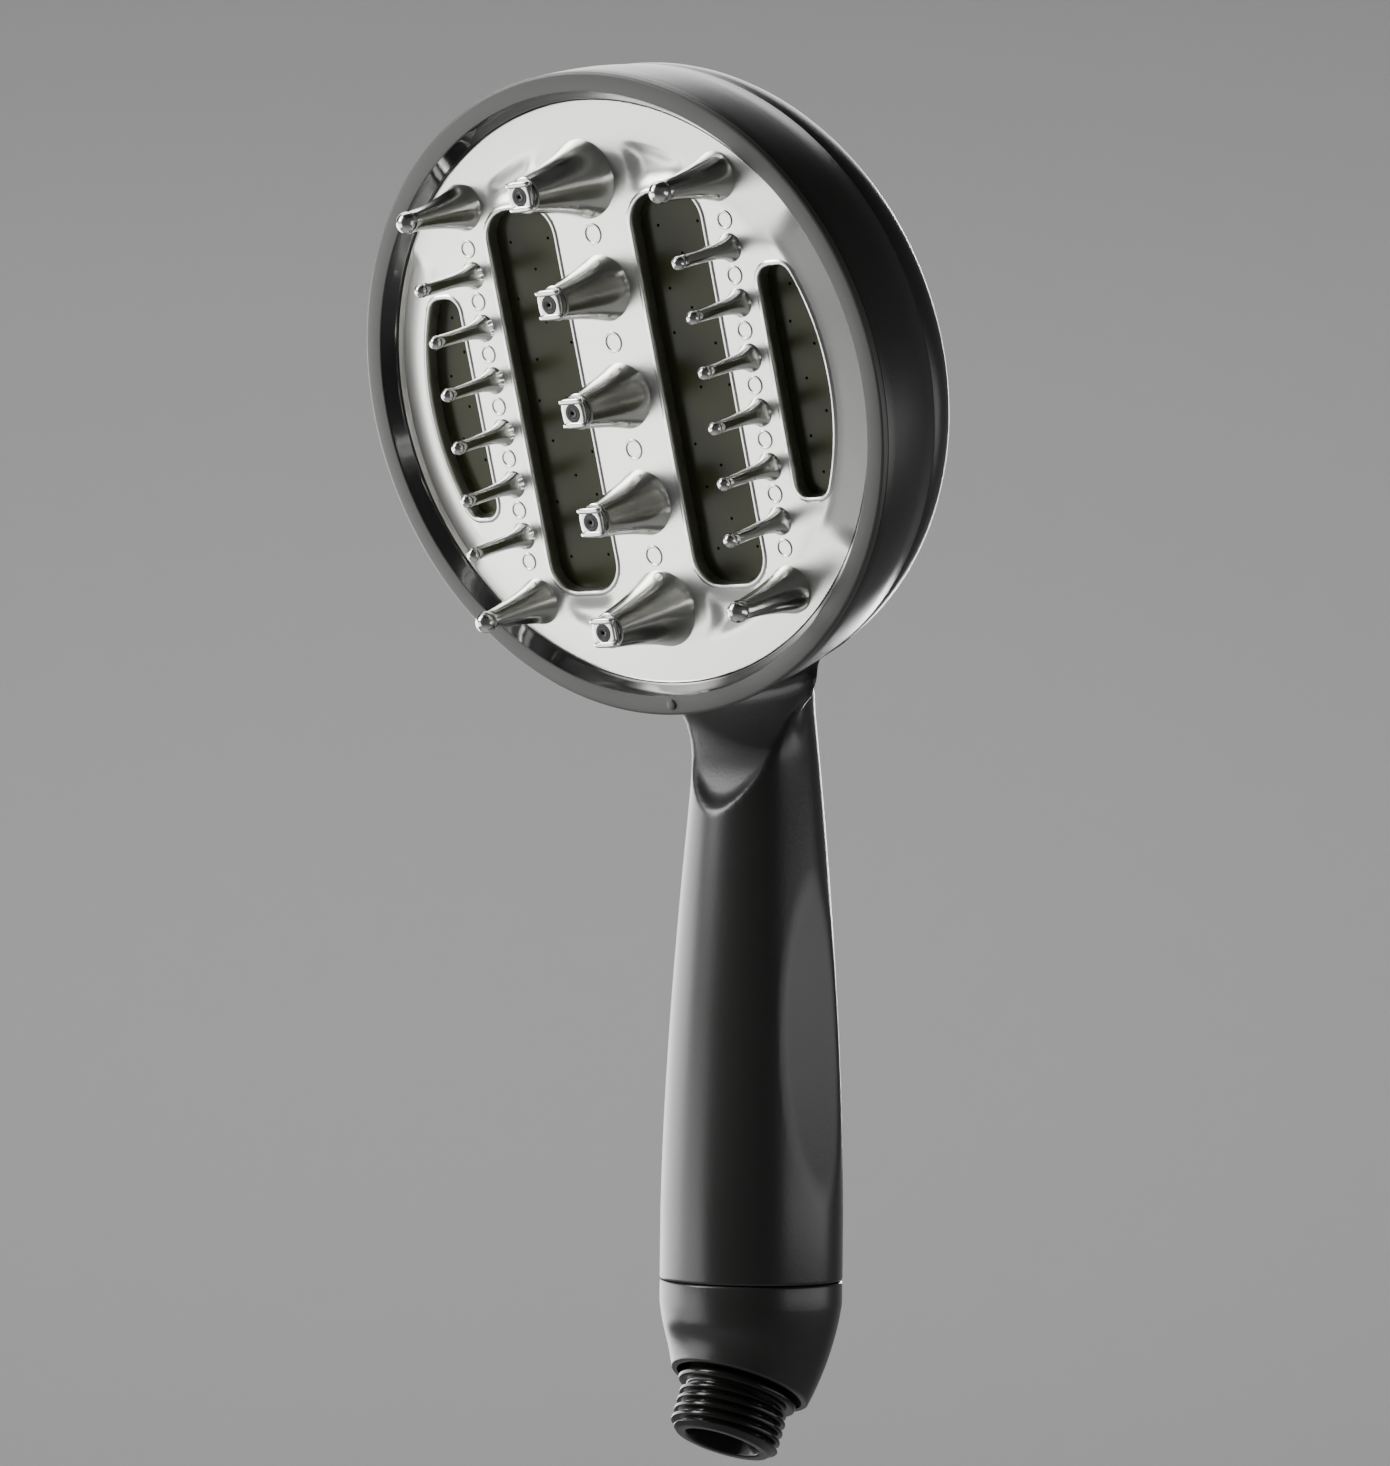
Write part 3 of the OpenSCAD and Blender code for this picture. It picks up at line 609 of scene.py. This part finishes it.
def window_points(side, corner=2.7, steps=9):
    """A side window: a straight inner edge, an arc round the head's axis, cut off above and below."""
    inner_x, reach, low = WINDOW_IN + corner, WINDOW_R - corner, WINDOW_HALF - corner
    outer_x = math.sqrt(reach ** 2 - low ** 2)
    end = math.degrees(math.atan2(low, outer_x))
    points = arc((0, 0), WINDOW_R, -end, end, 24)
    points += arc((outer_x, low), corner, end, 90, steps)[1:]
    points += arc((inner_x, low), corner, 90, 180, steps)
    points += arc((inner_x, -low), corner, 180, 270, steps)
    points += arc((outer_x, -low), corner, 270, 360 - end, steps)[:-1]
    return np.array(points) * [side, 1]


def even_spacing(outline, gap=0.6):
    """The same closed outline with points at an even gap."""
    closed = np.vstack([outline, outline[:1]])
    run = np.r_[0, np.cumsum(np.linalg.norm(np.diff(closed, axis=0), axis=1))]
    at = np.linspace(0, run[-1], max(24, int(run[-1] / gap)), endpoint=False)
    return np.stack([np.interp(at, run, closed[:, k]) for k in (0, 1)], -1)


def outward(outline):
    """Unit normals that point out of a closed outline."""
    ahead = np.roll(outline, -1, 0) - np.roll(outline, 1, 0)
    normal = np.stack([ahead[:, 1], -ahead[:, 0]], -1)
    area = np.sum(outline[:, 0] * np.roll(outline[:, 1], -1) - outline[:, 1] * np.roll(outline[:, 0], -1))
    return normal / np.linalg.norm(normal, axis=1, keepdims=True) * np.sign(area)


def outline_distance(outline, u, v):
    """Signed distance of points from a closed outline, negative inside."""
    a, b = outline, np.roll(outline, -1, 0)
    best = np.full(u.shape, 1e9)
    inside = np.zeros(u.shape, bool)
    for (ax, ay), (bx, by) in zip(a, b):
        dx, dy = bx - ax, by - ay
        t = np.clip(((u - ax) * dx + (v - ay) * dy) / max(dx * dx + dy * dy, 1e-9), 0, 1)
        best = np.minimum(best, np.hypot(u - ax - t * dx, v - ay - t * dy))
        if abs(dy) > 1e-9:
            inside ^= ((ay > v) != (by > v)) & (u < dx * (v - ay) / dy + ax)
    return np.where(inside, -best, best)


SIDES = (-1, 1)
SLOT_MID, SLOT_HALF_W = (SLOT_IN + SLOT_OUT) / 2, (SLOT_OUT - SLOT_IN) / 2
OUTLINES = [rounded_rectangle(side * SLOT_MID, SLOT_HALF_W, SLOT_HALF, SLOT_CORNER) for side in SIDES]
OUTLINES += [window_points(side) for side in SIDES]
OUTLINES = [even_spacing(o) for o in OUTLINES]

# Flat field: round lobes about the end pins and the corner pins, and straight ends between them
LOBE_R, CORNER_LOBE_R, FIELD_HALF = 10.7, 6.4, 37.0
LOBE_BLEND, FIELD_BLEND = 1.5, 2.0
VALLEY_DEPTH, VALLEY_SLOPE = 0.85, (-0.6, 3.6)

# Margin outside the ridge: gentle above and below, steeper at the sides, with a crease at an angle
RIDGE_R, RIDGE_H, RIDGE_WIDTH = 47.6, 0.05, 0.8
CREASE_ANGLE, CREASE_HALF = 33.0, 2.5
MARGIN_SLOPE, MARGIN_STEEPER, MARGIN_SINK = 0.05, 0.15, 0.16
MARGIN_RISE = (44.6, RIDGE_R + 0.4)


def plate_height(u, v):
    """Relief of the plate's front: a flat field, valleys round its lobes and a sloped margin."""
    r = np.hypot(u, v)
    au, av = np.abs(u), np.abs(v)
    lobe = np.hypot(u, av - 2 * NOZZLE_PITCH) - LOBE_R
    lobe = smooth_min(lobe, np.hypot(au - CORNER_X, av - CORNER_Y) - CORNER_LOBE_R, LOBE_BLEND)
    lobe = smooth_min(lobe, av - FIELD_HALF, FIELD_BLEND)
    valley = -VALLEY_DEPTH * smoothstep(*VALLEY_SLOPE, lobe)
    angle = np.degrees(np.arctan2(av, au))
    steep = smoothstep(CREASE_ANGLE + CREASE_HALF, CREASE_ANGLE - CREASE_HALF, angle)
    out = np.maximum(r - RIDGE_R, 0)
    margin = -(MARGIN_SLOPE + MARGIN_STEEPER * steep) * out
    ridge = RIDGE_H * np.exp(-((r - RIDGE_R) / RIDGE_WIDTH) ** 2) * steep
    rise = smoothstep(*MARGIN_RISE, r)
    return valley * (1 - rise) + (margin - MARGIN_SINK * (1 - steep)) * rise + ridge


def lip_profile():
    """Distance outwards from the slot's wall and height, from outside the lip down to the wall's foot."""
    crest = [(1.25, -0.12), (1.0, 0.03), (0.8, 0.17), (0.55, 0.25), (0.3, 0.22), (0.12, 0.08)]
    foot = PLATE_BACK + 0.02
    return crest + [(0.02, -0.18), (0.0, -0.6), (0.0, foot), (0.9, foot), (1.25, foot)]


PLATE_STEP = 0.55
GRID_FROM_WALL = 0.55
WALL_TOP = -0.5
RING_TUBE, RING_ARC = 0.27, 324
SIDE_RING_R, MIDDLE_RING_R = 1.5, 1.75


def add_plate_front(build):
    """A grid over the plate, left open where the slots and windows are, with its edge drawn in to the rim."""
    half = int(PLATE_R / PLATE_STEP) + 1
    ticks = np.arange(-half, half + 1) * PLATE_STEP
    u, v = np.meshgrid(ticks, ticks, indexing="ij")
    r = np.hypot(u, v)
    pull = np.where(r > PLATE_R, PLATE_R / np.maximum(r, 1e-6), 1)
    gap = np.min([outline_distance(o, u, v) for o in OUTLINES], axis=0)
    inside = (r < PLATE_R + 0.75 * PLATE_STEP) & (gap > GRID_FROM_WALL)
    u, v = u * pull, v * pull
    points = np.stack([u, v, plate_height(u, v)], -1).reshape(-1, 3)
    keep = inside[:-1, :-1] & inside[1:, :-1] & inside[1:, 1:] & inside[:-1, 1:]
    n = len(ticks)
    i, j = np.nonzero(keep)
    corner = i * n + j
    faces = np.stack([corner, corner + n, corner + n + 1, corner + 1], -1)
    used = np.unique(faces)
    number = np.full(n * n, -1)
    number[used] = np.arange(len(used))
    build.add(points[used], number[faces])


def add_lips(build):
    """A rolled lip round each slot and window. Its crest follows the relief, its wall goes straight down."""
    for outline in OUTLINES:
        normal = outward(outline)
        rows = []
        for out, height in lip_profile():
            u, v = (outline + normal * out).T
            base = plate_height(u, v) if height > WALL_TOP else 0
            rows.append(np.stack([u, v, height + base + 0 * u], -1))
        build.add(np.concatenate(rows), grid_faces(len(rows), len(outline), closed_rows=True))


def add_ring_marks(build):
    """Small raised rings between the pins, in each side column and in the middle one."""
    marks = [(side * SIDE_X, k * SIDE_PITCH, SIDE_RING_R) for side in SIDES for k in range(-3, 4)]
    marks += [(0, k * NOZZLE_PITCH, MIDDLE_RING_R) for k in (-1.5, -0.5, 0.5, 1.5)]
    for mark_u, mark_v, radius in marks:
        tube = arc((radius, 0.0), RING_TUBE, 0, RING_ARC, 9)
        build.add(*revolve(tube, 48), at=[mark_u, mark_v, 0.0])


def make_massage_plate():
    build = Build()
    add_plate_front(build)
    add_lips(build)
    edge = [(PLATE_R - 0.02, -1.7), (PLATE_R - 0.02, -0.2), (PLATE_R - 0.6, -1.7)]
    build.add(*revolve(edge, 192))
    add_ring_marks(build)
    build.make("massage_plate_skin", [plate_chrome], HEAD, "face_unit", "satin_chrome", ["massage_plate"],
               sharp=28)


make_massage_plate()

# ---- pins ----


def flare_profile(base, shaft, fade, height, steps=22):
    """The side of a trumpet: it narrows from its base towards the shaft's radius as it rises."""
    z = height * np.power(np.linspace(0, 1, steps + 1), 1.5)
    r = shaft + (base - shaft) * np.exp(-z / fade)
    return [(float(a), float(b)) for a, b in zip(r, z)]


def pebble(centre, half, power=3.2, steps=12):
    """A rounded bar: a superellipsoid."""
    a = np.linspace(-math.pi / 2, math.pi / 2, steps + 1)[1:-1]
    b = np.arange(2 * steps) * TURN / (2 * steps)
    def bend(x):
        return np.sign(x) * np.abs(x) ** (2 / power)
    rows = np.stack([
        bend(np.cos(a))[:, None] * bend(np.cos(b)), bend(np.cos(a))[:, None] * bend(np.sin(b)),
        bend(np.sin(a))[:, None] + 0 * b,
    ], -1).reshape(-1, 3)
    faces = grid_faces(len(a), len(b))
    faces.append(list(range(len(b)))[::-1])
    faces.append([(len(a) - 1) * len(b) + k for k in range(len(b))])
    return rows * half + centre, faces


def squarish(profile, power, segments=48, round_within=0.0):
    """A turned profile whose section is a rounded square, and stays round inside a given radius."""
    points, faces = revolve(profile, segments, closed=False)
    turn = np.arctan2(points[:, 1], points[:, 0])
    grow = np.power(np.abs(np.cos(turn)) ** power + np.abs(np.sin(turn)) ** power, -1 / power)
    grow = np.where(np.hypot(points[:, 0], points[:, 1]) < round_within, 1.0, grow)
    points[:, :2] *= grow[:, None]
    return points, faces


# Nozzle pins: the square tip with a bar on each side of its round hole, and the insert in the hole
TIP_LEN, LUG_H = 1.95, 0.4
TIP_SQUARE = 3.6
TIP_ROUND_WITHIN = 2.0
NOZZLE_SHAFT, NOZZLE_FADE = 1.0, 16.5
BAR_HALF, BAR_OFF, BAR_DROP, BAR_SQUARE = [2.86, 0.62, 0.5], 2.2, 0.12, 2.8

# Corner and side pins: base and shaft radius, how soon the flare fades, and the ball's radius
CORNER_SHAPE = (4.5, 1.0, 10.5, 2.05)
SIDE_SHAPE = (2.7, 1.22, 2.3, 1.3)


def make_nozzle_pin(row):
    """One pin of the middle row, from -2 at the bottom to 2 at the top, with its insert."""
    ring = abs(row)
    height = NOZZLE_H[ring]
    shoulder = height - TIP_LEN
    floor = height - LUG_H
    place = [0, row * NOZZLE_PITCH, 0]
    trumpet = [(2.2, -2.0), (NOZZLE_BASE[ring], -2.0)]
    trumpet += flare_profile(NOZZLE_BASE[ring], NOZZLE_SHAFT, NOZZLE_FADE, shoulder - 0.3)
    rim = trumpet[-1][0]
    trumpet += [
        (rim - 0.02, shoulder - 0.12), (rim - 0.14, shoulder), (rim - 0.4, shoulder + 0.05),
        (2.3, shoulder - 0.02),
    ]
    neck = [(2.35, shoulder - 0.3), (2.35, shoulder + 0.6)]
    tip = [
        (1.9, shoulder + 0.38), (2.4, shoulder + 0.42), (2.6, shoulder + 0.55), (2.64, shoulder + 0.75),
        (2.64, floor - 0.28), (2.58, floor - 0.1), (2.4, floor), (1.72, floor), (1.66, floor - 0.5),
    ]
    build = Build()
    build.add(*revolve(trumpet, 72, closed=False), at=place)
    build.add(*revolve(neck, 40, closed=False), at=place)
    build.add(*squarish(tip, TIP_SQUARE, 64, TIP_ROUND_WITHIN), at=place)
    for side in SIDES:
        build.add(*pebble([0, side * BAR_OFF, floor - BAR_DROP], BAR_HALF, BAR_SQUARE), at=place)
    number = row + 3
    build.make(f"nozzle_pin_{number}_skin", [pin_chrome], HEAD, "face_unit", "pin_chrome",
               [f"nozzle_pin_{number}"])
    plug = [
        (0.3, floor - 4.5), (1.63, floor - 4.5), (1.63, floor + 0.02), (1.58, floor + 0.08),
        (1.14, floor + 0.1), (1.06, floor + 0.04), (0.97, floor + 0.04), (0.88, floor + 0.1),
        (0.42, floor + 0.08), (0.34, floor + 0.02), (0.3, floor - 0.1),
    ]
    insert = Build()
    insert.add(*revolve(plug, 40), at=place)
    insert.make(f"nozzle_insert_{number}_skin", [nozzle_black], HEAD, "face_unit", "nozzle_rubber",
                [f"nozzle_insert_{number}"])


for nozzle_row in range(-2, 3):
    make_nozzle_pin(nozzle_row)


def plain_pin(base, shaft, fade, ball, height):
    """A trumpet with a ball end and a fine groove between them."""
    middle = height - ball
    neck = middle - ball * 0.55
    trumpet = [(base * 0.4, -1.2), (base, -1.2)] + flare_profile(base, shaft, fade, neck)
    rim = trumpet[-1][0]
    start = math.degrees(math.asin(min(0.97, (rim - 0.06) / ball)))
    cap = [(ball * math.sin(math.radians(t)), middle - ball * math.cos(math.radians(t)))
           for t in np.linspace(start, 176, 18)]
    return revolve(trumpet + cap, 48, closed=False)


def make_corner_pins():
    quarters = [(-1, -1), (1, -1), (1, 1), (-1, 1)]
    for number, (sx, sy) in enumerate(quarters, 1):
        build = Build()
        build.add(*plain_pin(*CORNER_SHAPE, CORNER_H), at=[sx * CORNER_X, sy * CORNER_Y, 0])
        build.make(f"corner_pin_{number}_skin", [pin_chrome], HEAD, "face_unit", "pin_chrome",
                   [f"corner_pin_{number}"])


def make_side_pins():
    for side, word in zip(SIDES, ("left", "right")):
        build = Build()
        for k in range(6):
            step = k - 2.5
            pin = plain_pin(*SIDE_SHAPE, SIDE_H[int(abs(step))])
            build.add(*pin, at=[side * SIDE_X, step * SIDE_PITCH, 0])
        build.make(f"side_pins_{word}_skin", [pin_chrome], HEAD, "face_unit", "pin_chrome",
                   [f"side_pins_{word}"])


make_corner_pins()
make_side_pins()

# ---- end cap and connector ----

RIM_R = 13.5
CAP_STRAIGHT = 118.0
CAP_SEGMENTS, CAP_STEPS = 112, 26
CAP_IN = 12.4

# The cap's threaded spigot, up inside the grip
SPIGOT_R, SPIGOT_TOP = 13.25, 98.9
SPIGOT_PITCH, SPIGOT_CREST = 3.0, 0.55
SPIGOT_THREAD_FROM, SPIGOT_THREAD_TO, SPIGOT_FADE = 103.5, 112.6, 1.5

# The grey patch on the cap's end face by the rim, a painted highlight: half sizes, squareness, place in the inlet
# frame
HIGHLIGHT_PATCH_HALF, HIGHLIGHT_PATCH_SQUARE = [2.4, 1.0, 0.35], 2.4
HIGHLIGHT_PATCH_PLACE = [1.4, 12.0, INLET_LEN - 0.6]

CONNECTOR_SEGMENTS = 96
CONNECTOR_CORE = 9.35
THREAD_FLANK, THREAD_CREST = 0.5, 0.12


def thread_ridge(turn, z, pitch, flank=0.36, crest=0.06):
    """Height of a helical ridge, 0 to 1, at an angle and a height."""
    phase = (z / pitch - turn / TURN) % 1.0
    return smoothstep(flank, crest, np.abs(phase - 0.5))


def circle(turn, radius, z):
    """Points round the axis at a height, with one radius or one for each angle."""
    return np.stack([radius * np.cos(turn), radius * np.sin(turn), np.full(len(turn), float(z))], -1)


def leaning_circle(turn, radius, forward, down, tilt):
    """A circle about a point in the handle's middle plane, leaning forward by an angle."""
    ring = circle(turn, radius, 0)
    f = ring[:, 1] * math.cos(tilt)
    s = -ring[:, 1] * math.sin(tilt)
    return np.stack([ring[:, 0], forward + f, down + s], -1)


def make_end_cap():
    """From the seam over the taper to the leaning rim, then back up inside and down the spigot."""
    turn = np.arange(CAP_SEGMENTS) * TURN / CAP_SEGMENTS
    _, rim_f, rim_s = HANDLE.axes @ (INLET.at([0, 0, INLET_LEN]) - HANDLE.origin)
    seam = [(0.12, 14.05), (0.12, GRIP_R - 0.55), (0.16, GRIP_R - 0.28), (0.32, GRIP_R - 0.08),
            (0.6, GRIP_R - 0.01), (3.0, GRIP_R)]
    rows = [leaning_circle(turn, r, 0, GRIP_LEN + z, 0) for z, r in seam]
    for t in np.linspace(0, 1, CAP_STEPS + 1):
        ease = t * t * (3 - 2 * t)
        forward = rim_f * (0.35 * ease + 0.65 * t * t)
        down = CAP_STRAIGHT + (rim_s - CAP_STRAIGHT) * t
        radius = GRIP_R - (GRIP_R - RIM_R) * (t ** 1.7 * 0.55 + 0.45 * t)
        rows.append(leaning_circle(turn, radius - 0.03, forward, down, INLET_TILT * ease))
    for inset, drop in ((0.12, 0.35), (0.4, 0.6), (0.9, 0.7), (1.3, 0.62), (1.45, -1.0)):
        forward = rim_f + math.sin(INLET_TILT) * drop
        down = rim_s + math.cos(INLET_TILT) * drop
        rows.append(leaning_circle(turn, RIM_R - inset, forward, down, INLET_TILT))
    rows += [leaning_circle(turn, CAP_IN, 0, z, 0) for z in (CAP_STRAIGHT - 1, SPIGOT_TOP + 0.1)]
    for z in np.r_[SPIGOT_TOP, SPIGOT_TOP + 0.3, np.arange(100.8, 113.0, 0.3), GRIP_LEN - 0.3]:
        bite = smoothstep(SPIGOT_THREAD_FROM, SPIGOT_THREAD_FROM + SPIGOT_FADE, z)
        bite = bite * smoothstep(SPIGOT_THREAD_TO, SPIGOT_THREAD_TO - SPIGOT_FADE, z)
        rows.append(circle(turn, SPIGOT_R + SPIGOT_CREST * bite * thread_ridge(turn, z, SPIGOT_PITCH), z))
    build = Build().add(np.concatenate(rows), grid_faces(len(rows), CAP_SEGMENTS, closed_rows=True))
    build.make("end_cap_skin", [charcoal], HANDLE, "end_cap_unit", "charcoal_plastic", ["end_cap"], sharp=40)


def make_rim_highlight_patch():
    """A small grey patch on the cap's end face, behind the connector: a painted highlight where the rim catches
    light.
    """
    highlight_patch = Build().add(*pebble([0, 0, 0], HIGHLIGHT_PATCH_HALF, HIGHLIGHT_PATCH_SQUARE), at=HIGHLIGHT_PATCH_PLACE)
    highlight_patch.make("rim_highlight_patch", [painted_highlight_grey], INLET, "end_cap_unit", "charcoal_plastic")


def make_connector():
    """The hose thread with its bead, and the bore through it."""
    turn = np.arange(CONNECTOR_SEGMENTS) * TURN / CONNECTOR_SEGMENTS
    end = [(8.75, 0.0), (9.0, 0.06), (9.3, 0.35)]
    bead = [(9.6, 9.0), (9.7, 9.25), (10.9, 9.35), (11.3, 9.6), (11.45, 10.1), (11.3, 10.6), (10.9, 10.85)]
    inside = [(9.98, 10.95), (9.98, 18.8), (7.05, 18.8), (7.05, 0.5), (7.3, 0.12), (7.6, 0.0)]
    rows = [circle(turn, r, z) for r, z in end]
    for z in np.arange(0.5, 8.8, 0.12):
        fade = smoothstep(0.2, 1.3, z) * smoothstep(8.7, 7.8, z)
        ridge = thread_ridge(turn, z, THREAD_PITCH, THREAD_FLANK, THREAD_CREST)
        rows.append(circle(turn, CONNECTOR_CORE + (THREAD_R - CONNECTOR_CORE) * fade * ridge, z))
    rows += [circle(turn, r, z) for r, z in bead + inside]
    build = Build().add(np.concatenate(rows), grid_faces(len(rows), CONNECTOR_SEGMENTS, closed_rows=True))
    build.make("hose_connector_skin", [gloss_black], INLET, "end_cap_unit", "gloss_black", ["hose_connector"],
               sharp=45)


make_end_cap()
make_rim_highlight_patch()
make_connector()

# ---- stage, light and camera ----

FLOOR_Z = -520.0
WALL_OUT, WALL_HEIGHT, WALL_BEND = 2600.0, 3000.0, 1000.0


def make_stage():
    """A floor with a curved wall all round it, so that every side is seen against the same plain ground."""
    ground = material("backdrop", (0.36, 0.36, 0.36), 0.9, grain=60, bump=0.0, tint=0.004, spread=0.01,
                      specular=0.0)
    profile = [(1.0, 0.0), (400.0, 0.0), (900.0, 0.0)]
    profile += arc((WALL_OUT - WALL_BEND, WALL_BEND), WALL_BEND, -90, 0, 20)
    profile += [(WALL_OUT, WALL_HEIGHT)]
    points, faces = revolve(profile, 96, closed=False)
    open_topped = faces[:-1]
    mesh = bpy.data.meshes.new("backdrop")
    where = Frame([0, 0, FLOOR_Z], [1, 0, 0], [0, 1, 0], [0, 0, 1])
    mesh.from_pydata((where.at(points) * MM).tolist(), [], open_topped)
    mesh.materials.append(ground)
    mesh.shade_smooth()
    obj = bpy.data.objects.new("backdrop", mesh)
    bpy.context.scene.collection.objects.link(obj)


def softbox(name, target, direction, distance, size, power, spread=180):
    """An area light that looks at a target from a direction in the row frame."""
    direction = np.array(direction, float)
    direction /= np.linalg.norm(direction)
    data = bpy.data.lights.new(name, "AREA")
    data.shape = "RECTANGLE"
    data.size, data.size_y = size[0] * MM, size[1] * MM
    data.energy = power
    data.spread = math.radians(spread)
    obj = bpy.data.objects.new(name, data)
    obj.location = (np.asarray(target) + direction * distance) * MM
    obj.rotation_euler = Vector(direction).to_track_quat("Z", "Y").to_euler()
    obj.visible_camera = False
    bpy.context.scene.collection.objects.link(obj)


# Camera: place in mm, turn about X, Y and Z in degrees, lens and sensor in mm
CAMERA_AT = np.array([516.95, -647.51, 99.79])
CAMERA_TURN = (92.299, -0.682, 39.031)
CAMERA_LENS, CAMERA_SENSOR = 108.04, 36
VIEW_AZ = math.radians(CAMERA_TURN[2])


def make_camera():
    data = bpy.data.cameras.new("camera")
    data.lens = CAMERA_LENS
    data.sensor_width = CAMERA_SENSOR
    data.sensor_fit = "AUTO"
    data.clip_start, data.clip_end = 0.05, 20
    cam = bpy.data.objects.new("camera", data)
    cam.location = CAMERA_AT * MM
    cam.rotation_euler = Euler([math.radians(a) for a in CAMERA_TURN])
    bpy.context.scene.collection.objects.link(cam)
    bpy.context.scene.camera = cam


make_stage()
make_camera()

view_right = np.array([math.cos(VIEW_AZ), math.sin(VIEW_AZ), 0])
view_back = np.array([-math.sin(VIEW_AZ), math.cos(VIEW_AZ), 0])
up = np.array([0, 0, 1.0])
grip_middle = HANDLE.at([0, 0, 60])

# Where light has to come from for the face to mirror it into the camera, in the head's frame
FACE_MIRROR = [-0.639, -0.123, 0.759]
face_mirror = HEAD.axes.T @ np.array(FACE_MIRROR)


def from_camera(azimuth, elevation):
    """A direction by its angle round from the camera's side, to the camera's right, and its height."""
    az, el = math.radians(azimuth), math.radians(elevation)
    return (view_right * math.sin(az) - view_back * math.cos(az)) * math.cos(el) + up * math.sin(el)


# name, target, direction, distance, size in mm, power in watts, and spread in degrees if it isn't 180
softbox("face_box", HEAD.origin, face_mirror - view_right * 0.20 - up * 0.08, 800, (500, 430), 2.2)
softbox("upper_key", HEAD.origin, HEAD.axes.T @ np.array([-0.62, 0.54, 0.57]), 800, (260, 260), 5.0)
softbox("left_box", grip_middle, from_camera(-132, -2), 750, (940, 480), 8.4)
softbox("right_strip", grip_middle + up * 60, from_camera(165, 8), 750, (70, 420), 2.6)
softbox("right_fill", grip_middle, from_camera(75, -3), 900, (1200, 340), 2.6)
softbox("dome_light", HEAD.origin, from_camera(-150, 62), 800, (600, 400), 3.2)
softbox("scoop_light", HANDLE.at([0, 8, 18]), from_camera(-78, 44), 700, (240, 240), 1.5)
back_centre = -from_camera(0, 0) * 2300 + up * 100
softbox("back_left", back_centre, from_camera(-50, 18), 1900, (900, 900), 10.2, 100)
softbox("back_right", back_centre, from_camera(50, 18), 1900, (900, 900), 7.0, 100)
softbox("rear_fill", HEAD.origin, from_camera(180, 28), 900, (700, 500), 4.5)

world = bpy.data.worlds.new("world")
bpy.context.scene.world = world
world.use_nodes = True
background = world.node_tree.nodes["Background"]
background.inputs["Color"].default_value = (1, 1, 1, 1)
background.inputs["Strength"].default_value = 0.02
